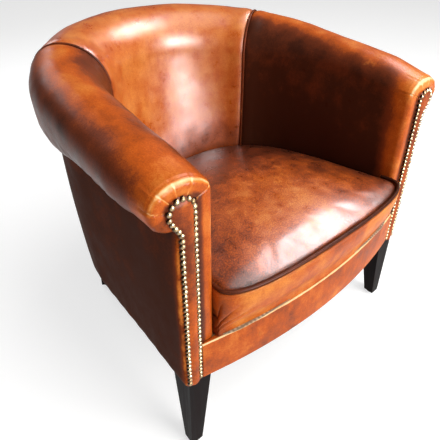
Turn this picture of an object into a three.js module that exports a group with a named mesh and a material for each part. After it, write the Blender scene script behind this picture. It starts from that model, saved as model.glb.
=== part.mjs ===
// Leather club chair: a tub shell of arms and back on a hardwood frame, with a fixed seat and four legs.
// Millimetres, +Z up, the sitter faces -Y. While the pieces are made, y = 0 is the front face of the arms
// and the shell follows a U: straight arms, then a half circle round the back. At any place along the U,
// "out" is the distance outward from the U and "z" the height, so a cross-section is a list of (out, z).
import * as THREE from 'three';
import { mergeVertices } from 'three/addons/utils/BufferGeometryUtils.js';

const { lerp, smoothstep, degToRad } = THREE.MathUtils;

// Driving dimensions
const INSIDE_HALF_WIDTH = 262; // from the chair's middle to an arm's inside face; the back's plan radius
const ARM_LENGTH = 319; // straight part of an arm
const ARM_TOP = 637;
const BACK_TOP = 716;
const ROLL_HALF_WIDTH = 59; // the rolled top edge, crown to outside
const ROLL_HEIGHT_FRONT = 48; // crown to the widest level, at the arm's front
const ROLL_HEIGHT_BACK = 59;
const FRONT_PULL = 12; // how much smaller the roll is pulled at the arm's front
const FRONT_PULL_LENGTH = 110;
const TUCK_Z_FRONT = 545; // where the outside panel is tucked up under the roll
const TUCK_Z_BACK = 516;
const TUCK_OUT_BACK = 88;
const SHOULDER_WIDTH_BACK = 96; // crown to inside face, thickly padded at the back
const SHOULDER_HEIGHT_BACK = 105;
const BACK_RAKE = 74; // how far the inside back comes forward from its shoulder to the seat
const WALL = 66; // thickness of arm and back at the lower edge
const COVER_BOTTOM = 197; // lower edge of the leather
const SEAT_FRONT = 397; // height of the piping at the seat's front edge
const SEAT_REAR = 337;
const SEAT_DEPTH = 470;
const SEAT_OVERHANG = 57; // how far the seat stands forward of the arms
const SEAT_CROWN = 27;
const LEDGE = 285; // top of the strip over the front rail
const STRIP_BOW = 34;
const LEG_TOP_SIZE = 50;
const LEG_FOOT_SIZE = 25;
const GLIDE_HEIGHT = 6;

// Thicknesses and clearances
const LEATHER = 2.5;
const GAP = 0.3;
const PAD_INSET = LEATHER + 3;
const PAD_FRONT = 26;
const PAD_BACK = 18; // the padding's back face, out from the U
const RAIL_INNER = PAD_BACK + GAP;
const RAIL_OUTER = 58;
const RAIL_BOTTOM = COVER_BOTTOM + 2.3;
const RAIL_TOP = 281;
const TOP_RAIL_HEIGHT = 38;
const ROLL_FLOOR_ABOVE_TUCK = 10;
const WALL_LEVELS = 4;
const FLOOR_GAP = 2; // under the roll's padding
const INSIDE_BOTTOM = 289; // lower edge of the inside covers and pads
const FRONT_ROUND = 12; // radius of the arm's soft front edge
const FRONT_RETURN = 31; // how far the arm's cover comes in over its front face
const PIPING_RADIUS = 3;
const SEAT_PIPING_RADIUS = 3.6;
const SEAM_ANGLE = degToRad(58); // where the arm and back covers meet, from the middle of the back
const SWELL_START = 170; // along the U, where the padding begins to thicken
const SWELL_END = 500;
const FACING_THICKNESS = 3;
const FACING_INNER = 32; // edges of the nailed facing's neck, out from the U
const FACING_OUTER = 63.2;
const FACING_HEAD = 25; // radius of its round head
const FACING_HEAD_OUT = FACING_INNER + FACING_HEAD; // its inner side runs straight on into the neck
const FACING_HEAD_Z = 578;
const FACING_SLANT = degToRad(32); // how far round the head the slanting line to the neck begins
const NAIL_INSET = 4.4;
const NAIL_TRIM_WIDTH = 8;
const NAIL_TRIM_HEIGHT = 3.5;
const STRAP_WIDTH = 50;

const ROLL_CROWN_OUT = ROLL_HALF_WIDTH;
const SHELL_REAR = ARM_LENGTH + INSIDE_HALF_WIDTH + ROLL_HALF_WIDTH; // y of the roll's crown behind

const materials = {
  leather: new THREE.MeshStandardMaterial({ color: 0xb5602f, roughness: 0.42, metalness: 0 }),
  seatLeather: new THREE.MeshStandardMaterial({ color: 0x9c5330, roughness: 0.4, metalness: 0 }),
  piping: new THREE.MeshStandardMaterial({ color: 0x5c2c1a, roughness: 0.45, metalness: 0 }),
  brass: new THREE.MeshStandardMaterial({ color: 0xb89a5e, roughness: 0.35, metalness: 1 }),
  legWood: new THREE.MeshStandardMaterial({ color: 0x1d1413, roughness: 0.4, metalness: 0 }),
  frameWood: new THREE.MeshStandardMaterial({ color: 0xc9a878, roughness: 0.7, metalness: 0 }),
  padding: new THREE.MeshStandardMaterial({ color: 0xe6dcc0, roughness: 0.95, metalness: 0 }),
  webbing: new THREE.MeshStandardMaterial({ color: 0xb9a27a, roughness: 0.9, metalness: 0 }),
  lining: new THREE.MeshStandardMaterial({ color: 0x2a2825, roughness: 0.95, metalness: 0 }),
  glide: new THREE.MeshStandardMaterial({ color: 0x3a3836, roughness: 0.5, metalness: 0.6 }),
};

const chair = new THREE.Group();

function add(name, geometry, material) {
  const mesh = new THREE.Mesh(geometry, material.clone());
  mesh.name = name;
  chair.add(mesh);
  return mesh;
}

// ---- Solids from rings

function range(count, make) {
  return Array.from({ length: count }, (_, i) => make(i / (count - 1)));
}

function signedVolume(position, index) {
  const a = new THREE.Vector3();
  const b = new THREE.Vector3();
  const c = new THREE.Vector3();
  let sum = 0;
  for (let i = 0; i < index.length; i += 3) {
    a.fromBufferAttribute(position, index[i]);
    b.fromBufferAttribute(position, index[i + 1]);
    c.fromBufferAttribute(position, index[i + 2]);
    sum += a.dot(b.cross(c)) / 6;
  }
  return sum;
}

// Closed solid through a row of rings with equally many points. Each end is closed by a ladder between
// the two halves of its ring: point i is joined across to point (count - 1 - i).
function loft(rings) {
  const count = rings[0].length;
  const points = rings.flat();
  const position = new THREE.Float32BufferAttribute(points.flatMap((p) => [p.x, p.y, p.z]), 3);
  const index = [];
  const quad = (a, b, c, d) => index.push(a, b, c, a, c, d);
  for (let ring = 0; ring < rings.length - 1; ring += 1) {
    for (let i = 0; i < count; i += 1) {
      const next = (i + 1) % count;
      const low = ring * count;
      const high = low + count;
      quad(low + i, low + next, high + next, high + i);
    }
  }
  const last = (rings.length - 1) * count;
  for (let i = 0; i < count / 2 - 1; i += 1) {
    const across = count - 1 - i;
    quad(across, across - 1, i + 1, i);
    quad(last + i, last + i + 1, last + across - 1, last + across);
  }
  if (signedVolume(position, index) < 0) {
    index.reverse();
  }
  const geometry = new THREE.BufferGeometry();
  geometry.setAttribute('position', position);
  geometry.setIndex(index);
  return geometry;
}

function mirrored(geometry) {
  const bare = geometry.clone();
  bare.deleteAttribute('normal');
  bare.deleteAttribute('uv');
  const copy = mergeVertices(bare);
  copy.scale(-1, 1, 1);
  copy.setIndex(Array.from(copy.index.array).reverse());
  return copy;
}

function addPair(name, geometry, material) {
  add(`${name}_left`, geometry, material);
  add(`${name}_right`, mirrored(geometry), material);
}

// ---- The U and its cross-section

function armStation(y) {
  return { x: -INSIDE_HALF_WIDTH, y, outX: -1, outY: 0, along: y };
}

// angle 0 is the middle of the back, negative on the left
function backStation(angle) {
  const outX = Math.sin(angle);
  const outY = Math.cos(angle);
  return {
    x: INSIDE_HALF_WIDTH * outX,
    y: ARM_LENGTH + INSIDE_HALF_WIDTH * outY,
    outX,
    outY,
    along: ARM_LENGTH + INSIDE_HALF_WIDTH * (Math.PI / 2 - Math.abs(angle)),
  };
}

function place(station, out, z) {
  return new THREE.Vector3(station.x + station.outX * out, station.y + station.outY * out, z);
}

function section(station) {
  const swell = smoothstep(station.along, SWELL_START, SWELL_END);
  const crownY = station.y + station.outY * ROLL_CROWN_OUT;
  const rise = crownY / SHELL_REAR;
  const pull = FRONT_PULL * (1 - smoothstep(station.along, 0, FRONT_PULL_LENGTH));
  const top = lerp(ARM_TOP, BACK_TOP, rise) - pull;
  const outerHeight = lerp(ROLL_HEIGHT_FRONT, ROLL_HEIGHT_BACK, swell) - pull;
  return {
    top,
    wide: top - outerHeight,
    outerHeight,
    outerWidth: ROLL_HALF_WIDTH - pull,
    shoulderWidth: lerp(ROLL_HALF_WIDTH, SHOULDER_WIDTH_BACK, swell),
    shoulderHeight: lerp(ROLL_HEIGHT_FRONT, SHOULDER_HEIGHT_BACK, swell) - pull,
    tuckOut: lerp(WALL, TUCK_OUT_BACK, swell),
    tuckZ: lerp(TUCK_Z_FRONT, TUCK_Z_BACK, swell),
    rake: BACK_RAKE * Math.max(station.outY, 0) ** 3,
  };
}

// The inside face below the shoulder: it comes forward, ever faster, on its way down.
function insideFace(station, z) {
  const shape = section(station);
  const shoulderZ = shape.top - shape.shoulderHeight;
  const depth = THREE.MathUtils.clamp((shoulderZ - z) / (shoulderZ - INSIDE_BOTTOM), 0, 1);
  return ROLL_CROWN_OUT - shape.shoulderWidth - shape.rake * depth ** 1.3;
}

// Below this level the shell has its wall pad and frame, above it the roll.
const rollFloor = (station) => section(station).tuckZ + ROLL_FLOOR_ABOVE_TUCK;
const wallLevels = (station) => range(WALL_LEVELS, (t) => lerp(INSIDE_BOTTOM, rollFloor(station), t));

// From the lower edge of the inside face, over the roll, to the tuck, sunk by inset into the shell.
function coverProfile(station, inset) {
  const shape = section(station);
  const shoulderZ = shape.top - shape.shoulderHeight;
  const points = wallLevels(station).map((z) => [insideFace(station, z) + inset, z]);
  const quarter = (steps, make) => range(steps, (t) => make((t * Math.PI) / 2));
  points.push(...quarter(7, (turn) => [
    ROLL_CROWN_OUT - (shape.shoulderWidth - inset) * Math.cos(turn),
    shoulderZ + (shape.shoulderHeight - inset) * Math.sin(turn),
  ]));
  points.push(...quarter(6, (turn) => [
    ROLL_CROWN_OUT + (shape.outerWidth - inset) * Math.sin(turn),
    shape.wide + (shape.outerHeight - inset) * Math.cos(turn),
  ]).slice(1));
  points.push(...quarter(5, (turn) => [
    shape.tuckOut + (ROLL_CROWN_OUT + shape.outerWidth - shape.tuckOut - inset) * Math.cos(turn),
    shape.wide - (shape.wide - shape.tuckZ - inset) * Math.sin(turn),
  ]).slice(1));
  return points;
}

function placed(station, profile) {
  return profile.map(([out, z]) => place(station, out, z));
}

function skinRing(outer, inner) {
  return [...outer, ...inner.reverse()];
}

function coverRing(station) {
  return skinRing(
    placed(station, coverProfile(station, 0)),
    placed(station, coverProfile(station, LEATHER)),
  );
}

function outsideProfile(station, inset) {
  const shape = section(station);
  const belly = 4;
  return range(5, (t) => [
    lerp(shape.tuckOut, WALL, t) + belly * 4 * t * (1 - t) - inset,
    lerp(shape.tuckZ - GAP, COVER_BOTTOM, t),
  ]);
}

function outsideRing(station) {
  return skinRing(
    placed(station, outsideProfile(station, 0)),
    placed(station, outsideProfile(station, LEATHER)),
  );
}

function boxRing(station, innerOut, outerOut, low, high) {
  return placed(station, [[innerOut, low], [outerOut, low], [outerOut, high], [innerOut, high]]);
}

const armPlaces = (from, to, count) => range(count, (t) => armStation(lerp(from, to, t)));
const backAngles = (from, to, count) => range(count, (t) => backStation(lerp(from, to, t)));

// All the layers share these places along the U, so that their facets lie parallel.
const armStations = armPlaces(PAD_FRONT, ARM_LENGTH - GAP, 6);
const seamHalfGap = (PIPING_RADIUS + GAP) / (INSIDE_HALF_WIDTH - 60);
const buttHalfGap = GAP / 2 / INSIDE_HALF_WIDTH;
const rearArmStations = (clear) => backAngles(-Math.PI / 2, -SEAM_ANGLE, 5)
  .slice(0, -1).concat(backStation(-SEAM_ANGLE - clear));
const middleStations = backAngles(-SEAM_ANGLE, SEAM_ANGLE, 15).slice(1, -1);
const backStations = (clear) => [
  backStation(clear - SEAM_ANGLE),
  ...middleStations,
  backStation(SEAM_ANGLE - clear),
];
const wholeBack = [
  ...backAngles(-Math.PI / 2, -SEAM_ANGLE, 5),
  ...middleStations,
  ...backAngles(SEAM_ANGLE, Math.PI / 2, 5),
];

// ---- Leather covers of the shell

// The arm's cover turns in over the front face: a quarter round, then flat.
function frontReturnRings() {
  const quarter = range(4, (t) => (t * Math.PI) / 2).reverse();
  const ring = (outerY, outerInset, innerY, innerInset) => skinRing(
    placed(armStation(outerY), coverProfile(armStation(0), outerInset)),
    placed(armStation(innerY), coverProfile(armStation(0), innerInset)),
  );
  const innerRound = FRONT_ROUND - LEATHER;
  return [
    ring(0, FRONT_RETURN, LEATHER, FRONT_RETURN),
    ...quarter.map((turn) => ring(
      FRONT_ROUND * (1 - Math.sin(turn)),
      FRONT_ROUND * (1 - Math.cos(turn)),
      FRONT_ROUND - innerRound * Math.sin(turn),
      FRONT_ROUND - innerRound * Math.cos(turn),
    )),
  ];
}

addPair('inside_arm_leather', loft([
  ...frontReturnRings(),
  ...armStations.map(coverRing),
  ...rearArmStations(seamHalfGap).map(coverRing),
]), materials.leather);

add('inside_back_leather', loft(backStations(seamHalfGap).map(coverRing)), materials.leather);
addPair('outside_arm_leather', loft([
  outsideRing(armStation(0)),
  ...armStations.map(outsideRing),
  ...rearArmStations(buttHalfGap).map(outsideRing),
]), materials.leather);
add('outside_back_leather', loft(backStations(buttHalfGap).map(outsideRing)), materials.leather);

// Piped seam: a cord lying in the gap between two covers, following their section
function seamPiping() {
  const station = backStation(-SEAM_ANGLE);
  const sideways = new THREE.Vector3(station.outY, -station.outX, 0);
  const centre = placed(station, coverProfile(station, LEATHER - PIPING_RADIUS).slice(0, -1));
  const sides = 6;
  return loft(centre.map((point, i) => {
    const before = centre[Math.max(i - 1, 0)];
    const after = centre[Math.min(i + 1, centre.length - 1)];
    const away = new THREE.Vector3().subVectors(after, before).normalize().cross(sideways);
    return Array.from({ length: sides }, (_, k) => {
      const turn = ((k + 0.5) / sides) * 2 * Math.PI;
      return point.clone()
        .addScaledVector(away, PIPING_RADIUS * Math.cos(turn))
        .addScaledVector(sideways, PIPING_RADIUS * Math.sin(turn));
    });
  }));
}
addPair('seam_piping', seamPiping(), materials.piping);

// ---- Padding under the covers

function wallPadRing(station) {
  const levels = wallLevels(station);
  levels[levels.length - 1] -= FLOOR_GAP;
  return [
    ...levels.map((z) => place(station, insideFace(station, z) + PAD_INSET, z)),
    ...levels.reverse().map((z) => place(station, PAD_BACK, z)),
  ];
}

function rollPadRing(station) {
  const shape = section(station);
  const floor = rollFloor(station);
  const kept = coverProfile(station, PAD_INSET).slice(WALL_LEVELS - 1, -2);
  const inset = PAD_INSET + 1;
  const turn = Math.asin((shape.wide - floor) / (shape.wide - shape.tuckZ - inset));
  const reach = ROLL_CROWN_OUT + shape.outerWidth - shape.tuckOut - inset;
  kept.push([shape.tuckOut + reach * Math.cos(turn), floor]);
  return placed(station, kept);
}

addPair('inside_arm_pad', loft(armStations.map(wallPadRing)), materials.padding);
addPair('arm_roll_pad', loft(armStations.map(rollPadRing)), materials.padding);
add('inside_back_pad', loft(wholeBack.map(wallPadRing)), materials.padding);
add('back_roll_pad', loft(wholeBack.map(rollPadRing)), materials.padding);

// ---- Hardwood frame

const POST_FRONT = 6;
const POST_DEPTH = 44;
const POST_TOP = TUCK_Z_FRONT - 30;
const POST_BACK = POST_FRONT + POST_DEPTH;
const RAIL_START = POST_BACK + GAP;

addPair('arm_front_post', loft([RAIL_BOTTOM, POST_TOP].map((z) => [
  place(armStation(POST_FRONT), RAIL_INNER, z),
  place(armStation(POST_FRONT), RAIL_OUTER + 2, z),
  place(armStation(POST_BACK), RAIL_OUTER + 2, z),
  place(armStation(POST_BACK), RAIL_INNER, z),
])), materials.frameWood);

// round board that the roll's front is tacked to
function scrollBoard() {
  const thickness = 18;
  const radius = 31;
  const board = new THREE.CylinderGeometry(radius, radius, thickness, 32);
  board.translate(-INSIDE_HALF_WIDTH - ROLL_CROWN_OUT, POST_FRONT + thickness / 2, 0);
  board.translate(0, 0, ARM_TOP - ROLL_HEIGHT_FRONT - 4);
  return board;
}
addPair('scroll_board', scrollBoard(), materials.frameWood);

const topRailRing = (station) => boxRing(
  station,
  RAIL_INNER,
  RAIL_OUTER,
  rollFloor(station) - FLOOR_GAP - TOP_RAIL_HEIGHT,
  rollFloor(station) - FLOOR_GAP,
);
const lowRailRing = (station) => boxRing(station, RAIL_INNER, RAIL_OUTER, RAIL_BOTTOM, RAIL_TOP);
const railPlaces = (count) => armPlaces(RAIL_START, ARM_LENGTH - GAP, count);
addPair('arm_top_rail', loft(railPlaces(4).map(topRailRing)), materials.frameWood);
add('back_top_rail', loft(wholeBack.map(topRailRing)), materials.frameWood);
addPair('side_rail', loft(railPlaces(2).map(lowRailRing)), materials.frameWood);
add('back_rail', loft(wholeBack.map(lowRailRing)), materials.frameWood);

// uprights between the back rail and the top rail
function uprightGeometry(angle) {
  const width = 44;
  const station = backStation(angle);
  const high = rollFloor(station) - FLOOR_GAP - TOP_RAIL_HEIGHT - 3;
  const low = RAIL_TOP + GAP;
  const upright = new THREE.BoxGeometry(width, 34, high - low);
  upright.rotateZ(-angle);
  const middle = place(station, (RAIL_INNER + RAIL_OUTER) / 2, (low + high) / 2);
  return upright.translate(middle.x, middle.y, middle.z);
}
addPair('back_upright_outer', uprightGeometry(-SEAM_ANGLE), materials.frameWood);
addPair('back_upright_inner', uprightGeometry(degToRad(-25)), materials.frameWood);

// y of the front strip's face: bowed between the nailed facings
const STRIP_HALF_WIDTH = INSIDE_HALF_WIDTH + FACING_INNER - 0.7;
const STRIP_END = 4;
const stripFace = (x) => -STRIP_END - STRIP_BOW * (1 - (x / STRIP_HALF_WIDTH) ** 2);

function bowedBoard(halfWidth, back, thickness, low, high, steps) {
  return loft(range(steps, (t) => {
    const x = lerp(-halfWidth, halfWidth, t);
    const face = stripFace(x) + back;
    return [[face, low], [face + thickness, low], [face + thickness, high], [face, high]]
      .map(([y, z]) => new THREE.Vector3(x, y, z));
  }));
}
const FRONT_RAIL_HALF_WIDTH = INSIDE_HALF_WIDTH + RAIL_INNER - GAP;
const FRONT_RAIL_THICKNESS = 26;
add('front_rail', bowedBoard(
  FRONT_RAIL_HALF_WIDTH,
  LEATHER + GAP,
  FRONT_RAIL_THICKNESS,
  RAIL_BOTTOM,
  RAIL_TOP,
  17,
), materials.frameWood);
add('front_rail_strip', bowedBoard(
  STRIP_HALF_WIDTH,
  0,
  LEATHER,
  COVER_BOTTOM,
  LEDGE,
  21,
), materials.leather);

// three-cornered blocks glued in the frame's corners
function cornerBlock(size, height) {
  const outline = new THREE.Shape();
  outline.moveTo(0, 0);
  outline.lineTo(size, 0);
  outline.lineTo(0, size);
  outline.closePath();
  return new THREE.ExtrudeGeometry(outline, { depth: height, bevelEnabled: false });
}
const BLOCK_HEIGHT = 45;
const frontBlock = cornerBlock(80, BLOCK_HEIGHT);
frontBlock.translate(-INSIDE_HALF_WIDTH - RAIL_INNER + GAP, 26, RAIL_BOTTOM);
addPair('front_corner_block', frontBlock, materials.frameWood);
const rearBlock = cornerBlock(70, BLOCK_HEIGHT);
const rearBlockAngle = degToRad(-52);
const rearBlockPlace = place(backStation(rearBlockAngle), RAIL_INNER - 36, RAIL_BOTTOM);
rearBlock.rotateZ(-rearBlockAngle - degToRad(135));
rearBlock.translate(rearBlockPlace.x, rearBlockPlace.y, rearBlockPlace.z);
addPair('rear_corner_block', rearBlock, materials.frameWood);

// ---- Legs and glides

function legGeometry(top, foot) {
  const legTop = COVER_BOTTOM - GAP;
  const legBottom = GLIDE_HEIGHT + GAP;
  return loft([
    foot.map(([x, y]) => new THREE.Vector3(x, y, legBottom)),
    top.map(([x, y]) => new THREE.Vector3(x, y, legTop)),
  ]);
}

// corners of a square, anticlockwise, from its corner nearest to the chair's outside front
const square = (x, y, size) => [[x, y], [x + size, y], [x + size, y + size], [x, y + size]];
const legCornerX = -INSIDE_HALF_WIDTH - WALL + 5;
const legCornerY = -2;
addPair('front_leg', legGeometry(
  square(legCornerX, legCornerY, LEG_TOP_SIZE),
  square(legCornerX, legCornerY, LEG_FOOT_SIZE),
), materials.legWood);

const REAR_LEG_ANGLE = degToRad(-53);
const REAR_LEG_SPLAY = 20;
function turnedSquare(out, size) {
  const station = backStation(REAR_LEG_ANGLE);
  const centre = place(station, out, 0);
  const across = new THREE.Vector3(station.outY, -station.outX, 0);
  const away = new THREE.Vector3(station.outX, station.outY, 0);
  return [[-1, -1], [1, -1], [1, 1], [-1, 1]].map(([i, j]) => {
    const corner = centre.clone();
    corner.addScaledVector(across, (i * size) / 2).addScaledVector(away, (j * size) / 2);
    return [corner.x, corner.y];
  });
}
const REAR_LEG_OUT = 34;
addPair('rear_leg', legGeometry(
  turnedSquare(REAR_LEG_OUT, LEG_TOP_SIZE),
  turnedSquare(REAR_LEG_OUT + REAR_LEG_SPLAY, LEG_FOOT_SIZE),
), materials.legWood);

function glideGeometry(x, y) {
  const profile = [[0, 0], [7.5, 0], [10, 2], [10, GLIDE_HEIGHT], [0, GLIDE_HEIGHT]];
  const glide = new THREE.LatheGeometry(profile.map(([r, z]) => new THREE.Vector2(r, z)), 24);
  glide.rotateX(Math.PI / 2);
  return glide.translate(x, y, 0);
}
const footMiddle = LEG_FOOT_SIZE / 2;
addPair('front_glide', glideGeometry(legCornerX + footMiddle, legCornerY + footMiddle), materials.glide);
const rearFoot = place(backStation(REAR_LEG_ANGLE), REAR_LEG_OUT + REAR_LEG_SPLAY, 0);
addPair('rear_glide', glideGeometry(rearFoot.x, rearFoot.y), materials.glide);

// ---- Seat

// y of the seat's front edge falls back to 0 at the arms in a rounded corner, with n = 2.7
const CORNER_POWER = 2 / 2.7;
const seatEdgeZ = (y) => lerp(SEAT_FRONT, SEAT_REAR, Math.max(y, 0) / SEAT_DEPTH);

// How far the seat's front stands out at a height: on the ledge it meets the strip.
function overhangAt(z) {
  const level = THREE.MathUtils.clamp((z - LEDGE) / (SEAT_FRONT - LEDGE), 0, 1);
  return lerp(STRIP_BOW + STRIP_END, SEAT_OVERHANG, level) + 5 * Math.sin(Math.PI * level);
}

const SEAM_ROOM = PIPING_RADIUS; // for the seam piping, which stands proud of the covers
const SEAT_FRONT_POINTS = 21;

// The seat's outline, clear of the inside covers: front from left to right, right arm, back, left arm.
function seatOutline(clear, frontClear, zOf) {
  const half = INSIDE_HALF_WIDTH - clear;
  const front = range(SEAT_FRONT_POINTS, (t) => {
    const turn = Math.PI * (1 - t);
    const z = zOf(0);
    const x = half * Math.sign(Math.cos(turn)) * Math.abs(Math.cos(turn)) ** CORNER_POWER;
    const depth = overhangAt(z) - frontClear;
    return new THREE.Vector3(x, -depth * Math.sin(turn) ** CORNER_POWER, z);
  });
  const right = range(4, (t) => lerp(0, ARM_LENGTH, t)).slice(1).map((y) => {
    const station = armStation(y);
    const out = insideFace(station, zOf(y)) - clear;
    return new THREE.Vector3(INSIDE_HALF_WIDTH + out, y, zOf(y));
  });
  const back = backAngles(Math.PI / 2, -Math.PI / 2, 18).slice(1, -1).map((station) => {
    const near = place(station, insideFace(station, SEAT_REAR) - clear, 0);
    const z = zOf(near.y);
    return place(station, insideFace(station, z) - clear - SEAM_ROOM, z);
  });
  const left = right.map((p) => new THREE.Vector3(-p.x, p.y, p.z)).reverse();
  return [...front, ...right, ...back, ...left];
}

const SEAT_CENTRE_Y = 205;
// Rings that climb from the edge to the top of the crown
function crownRings(edge, lift, shares) {
  return shares.map((share) => edge.map((p) => {
    const y = lerp(SEAT_CENTRE_Y, p.y, share);
    const z = lerp(p.z, seatEdgeZ(y) + lift, share < 1 ? 1 : 0) + SEAT_CROWN * (1 - share ** 2.2);
    return new THREE.Vector3(p.x * share, y, z);
  }));
}

const shares = [1, 0.93, 0.8, 0.6, 0.35, 0.12];
const PANEL_CLEAR = 2 * SEAT_PIPING_RADIUS + 2 * GAP;
const panelEdge = (drop) => seatOutline(PANEL_CLEAR, PANEL_CLEAR, (y) => seatEdgeZ(y) - drop);
add('seat_top_leather', loft([
  ...crownRings(panelEdge(LEATHER), -LEATHER, shares).reverse(),
  ...crownRings(panelEdge(0), 0, shares),
]), materials.seatLeather);

const FOAM_BOTTOM = 289;
const FOAM_DROP = 5.5;
const FOAM_CLEAR = LEATHER + 3;
const foamEdge = (rise) => seatOutline(
  FOAM_CLEAR,
  FOAM_CLEAR,
  (y) => lerp(FOAM_BOTTOM, seatEdgeZ(y) - FOAM_DROP, rise),
);
add('seat_foam', loft([
  ...[0, 0.33, 0.66].map(foamEdge),
  ...crownRings(foamEdge(1), -FOAM_DROP, shares),
]), materials.padding);

// Leather band round the seat's front, from the ledge up to the piping
const BAND_TOP = SEAT_FRONT - SEAT_PIPING_RADIUS - GAP;
const bandLevels = range(5, (t) => lerp(LEDGE + GAP, BAND_TOP, t));
function bandLine(z, inset) {
  return seatOutline(2 * GAP + inset, inset, () => z).slice(0, SEAT_FRONT_POINTS);
}
function bandGeometry() {
  const outer = bandLevels.map((z) => bandLine(z, 0));
  const inner = bandLevels.map((z) => bandLine(z, LEATHER));
  return loft(outer[0].map((_, i) => [
    ...outer.map((line) => line[i]),
    ...inner.map((line) => line[i]).reverse(),
  ]));
}
add('seat_front_band', bandGeometry(), materials.leather);

// Piping round the seat's front edge, running back a little along both arms
function seatPiping() {
  const inset = SEAT_PIPING_RADIUS;
  const line = seatOutline(2 * GAP + inset, inset, () => SEAT_FRONT).slice(0, SEAT_FRONT_POINTS);
  const run = 26;
  const tail = (end) => new THREE.Vector3(end.x, run, seatEdgeZ(run));
  line.unshift(tail(line[0]));
  line.push(tail(line[line.length - 1]));
  const sides = 6;
  return loft(line.map((point, i) => {
    const before = line[Math.max(i - 1, 0)];
    const after = line[Math.min(i + 1, line.length - 1)];
    const ahead = new THREE.Vector3().subVectors(after, before).normalize();
    const side = new THREE.Vector3(0, 0, 1).cross(ahead).normalize();
    const up = ahead.cross(side);
    return Array.from({ length: sides }, (_, k) => {
      const turn = ((k + 0.5) / sides) * 2 * Math.PI;
      return point.clone()
        .addScaledVector(side, SEAT_PIPING_RADIUS * Math.cos(turn))
        .addScaledVector(up, SEAT_PIPING_RADIUS * Math.sin(turn));
    });
  }));
}
add('seat_piping', seatPiping(), materials.piping);

// ---- Seat support

const STRAP_THICKNESS = 2.5;
const FRONT_MARGIN = 14; // from the front rail's face back to the webbing and the lining
const STRAP_REACH = INSIDE_HALF_WIDTH + (RAIL_INNER + RAIL_OUTER) / 2; // to the rails' middle
function strap(width, depth, x, y, level) {
  const box = new THREE.BoxGeometry(width, depth, STRAP_THICKNESS);
  return box.translate(x, y, RAIL_TOP + GAP + level + STRAP_THICKNESS / 2);
}
[-195, -65, 65, 195].forEach((x, i) => {
  const front = stripFace(x) + FRONT_MARGIN;
  const edge = Math.abs(x) + STRAP_WIDTH / 2;
  const rear = ARM_LENGTH + Math.sqrt(STRAP_REACH ** 2 - edge ** 2);
  const band = strap(STRAP_WIDTH, rear - front, x, (rear + front) / 2, 0);
  add(`webbing_lengthwise_${i + 1}`, band, materials.webbing);
});
[90, 200, 310].forEach((y, i) => {
  const band = strap(2 * STRAP_REACH, STRAP_WIDTH, 0, y, STRAP_THICKNESS + GAP);
  add(`webbing_crosswise_${i + 1}`, band, materials.webbing);
});

function sheet(low, high) {
  const outline = (z) => seatOutline(FOAM_CLEAR, FOAM_CLEAR + 2, () => FOAM_BOTTOM).map((p) => p.setZ(z));
  return loft([outline(low), outline(high)]);
}
const DECK_BOTTOM = RAIL_TOP + 2 * (STRAP_THICKNESS + GAP) + GAP;
add('seat_deck', sheet(DECK_BOTTOM, FOAM_BOTTOM - GAP), materials.webbing);

// black lining closed over the frame's underside
const LINING_THICKNESS = 1.5;
function dustCover() {
  const edge = RAIL_OUTER - 4;
  const half = INSIDE_HALF_WIDTH + edge;
  const outline = new THREE.Shape();
  outline.moveTo(-half, FRONT_MARGIN);
  outline.quadraticCurveTo(0, FRONT_MARGIN - 2 * STRIP_BOW, half, FRONT_MARGIN);
  outline.lineTo(half, ARM_LENGTH);
  outline.absarc(0, ARM_LENGTH, half, 0, Math.PI, false);
  outline.closePath();
  const lining = new THREE.ExtrudeGeometry(outline, {
    depth: LINING_THICKNESS,
    bevelEnabled: false,
    curveSegments: 24,
  });
  return lining.translate(0, 0, COVER_BOTTOM + GAP);
}
add('dust_cover', dustCover(), materials.lining);

// ---- Nailed facings on the arm fronts

function facingOutline(inset, low) {
  const outline = new THREE.Shape();
  const inner = FACING_INNER + inset;
  const outer = FACING_OUTER - inset;
  const radius = FACING_HEAD - inset;
  const slantOut = FACING_HEAD_OUT + radius * Math.cos(FACING_SLANT);
  const slantZ = FACING_HEAD_Z - radius * Math.sin(FACING_SLANT);
  outline.moveTo(inner, low);
  outline.lineTo(inner, FACING_HEAD_Z);
  outline.absarc(FACING_HEAD_OUT, FACING_HEAD_Z, radius, Math.PI, -FACING_SLANT, true);
  outline.lineTo(outer, slantZ - (slantOut - outer) / Math.tan(FACING_SLANT));
  outline.lineTo(outer, low);
  return outline;
}

// Drawn in (out, z), stood up against the front of the right arm, and mirrored to the left one.
function standOnArm(geometry) {
  return mirrored(geometry.rotateX(Math.PI / 2).translate(INSIDE_HALF_WIDTH, 0, 0));
}
const facing = new THREE.ExtrudeGeometry(
  facingOutline(0, COVER_BOTTOM + 1),
  { depth: FACING_THICKNESS, bevelEnabled: false, curveSegments: 28 },
);
facing.translate(0, 0, GAP);
addPair('arm_facing', standOnArm(facing), materials.leather);

// Close-set domed nails, as one raised strip along the facing's edge
function nailTrim() {
  const middle = (line) => line.getSpacedPoints(70);
  const line = middle(facingOutline(NAIL_INSET, COVER_BOTTOM + 4));
  const base = GAP + FACING_THICKNESS + GAP;
  return loft(line.map((point, i) => {
    const before = line[Math.max(i - 1, 0)];
    const after = line[Math.min(i + 1, line.length - 1)];
    const side = new THREE.Vector2().subVectors(after, before).normalize();
    side.set(-side.y, side.x);
    const half = NAIL_TRIM_WIDTH / 2;
    const profile = [[-half, 0], [-half * 0.6, 1], [half * 0.6, 1], [half, 0]];
    return profile.map(([across, up]) => new THREE.Vector3(
      point.x + side.x * across,
      point.y + side.y * across,
      base + NAIL_TRIM_HEIGHT * up,
    ));
  }));
}
addPair('nail_trim', standOnArm(nailTrim()), materials.brass);

// The frame's origin is on the floor, in the middle of the chair's width and depth.
const size = new THREE.Box3().setFromObject(chair);
chair.position.y = -(size.min.y + size.max.y) / 2;

export default chair;
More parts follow.
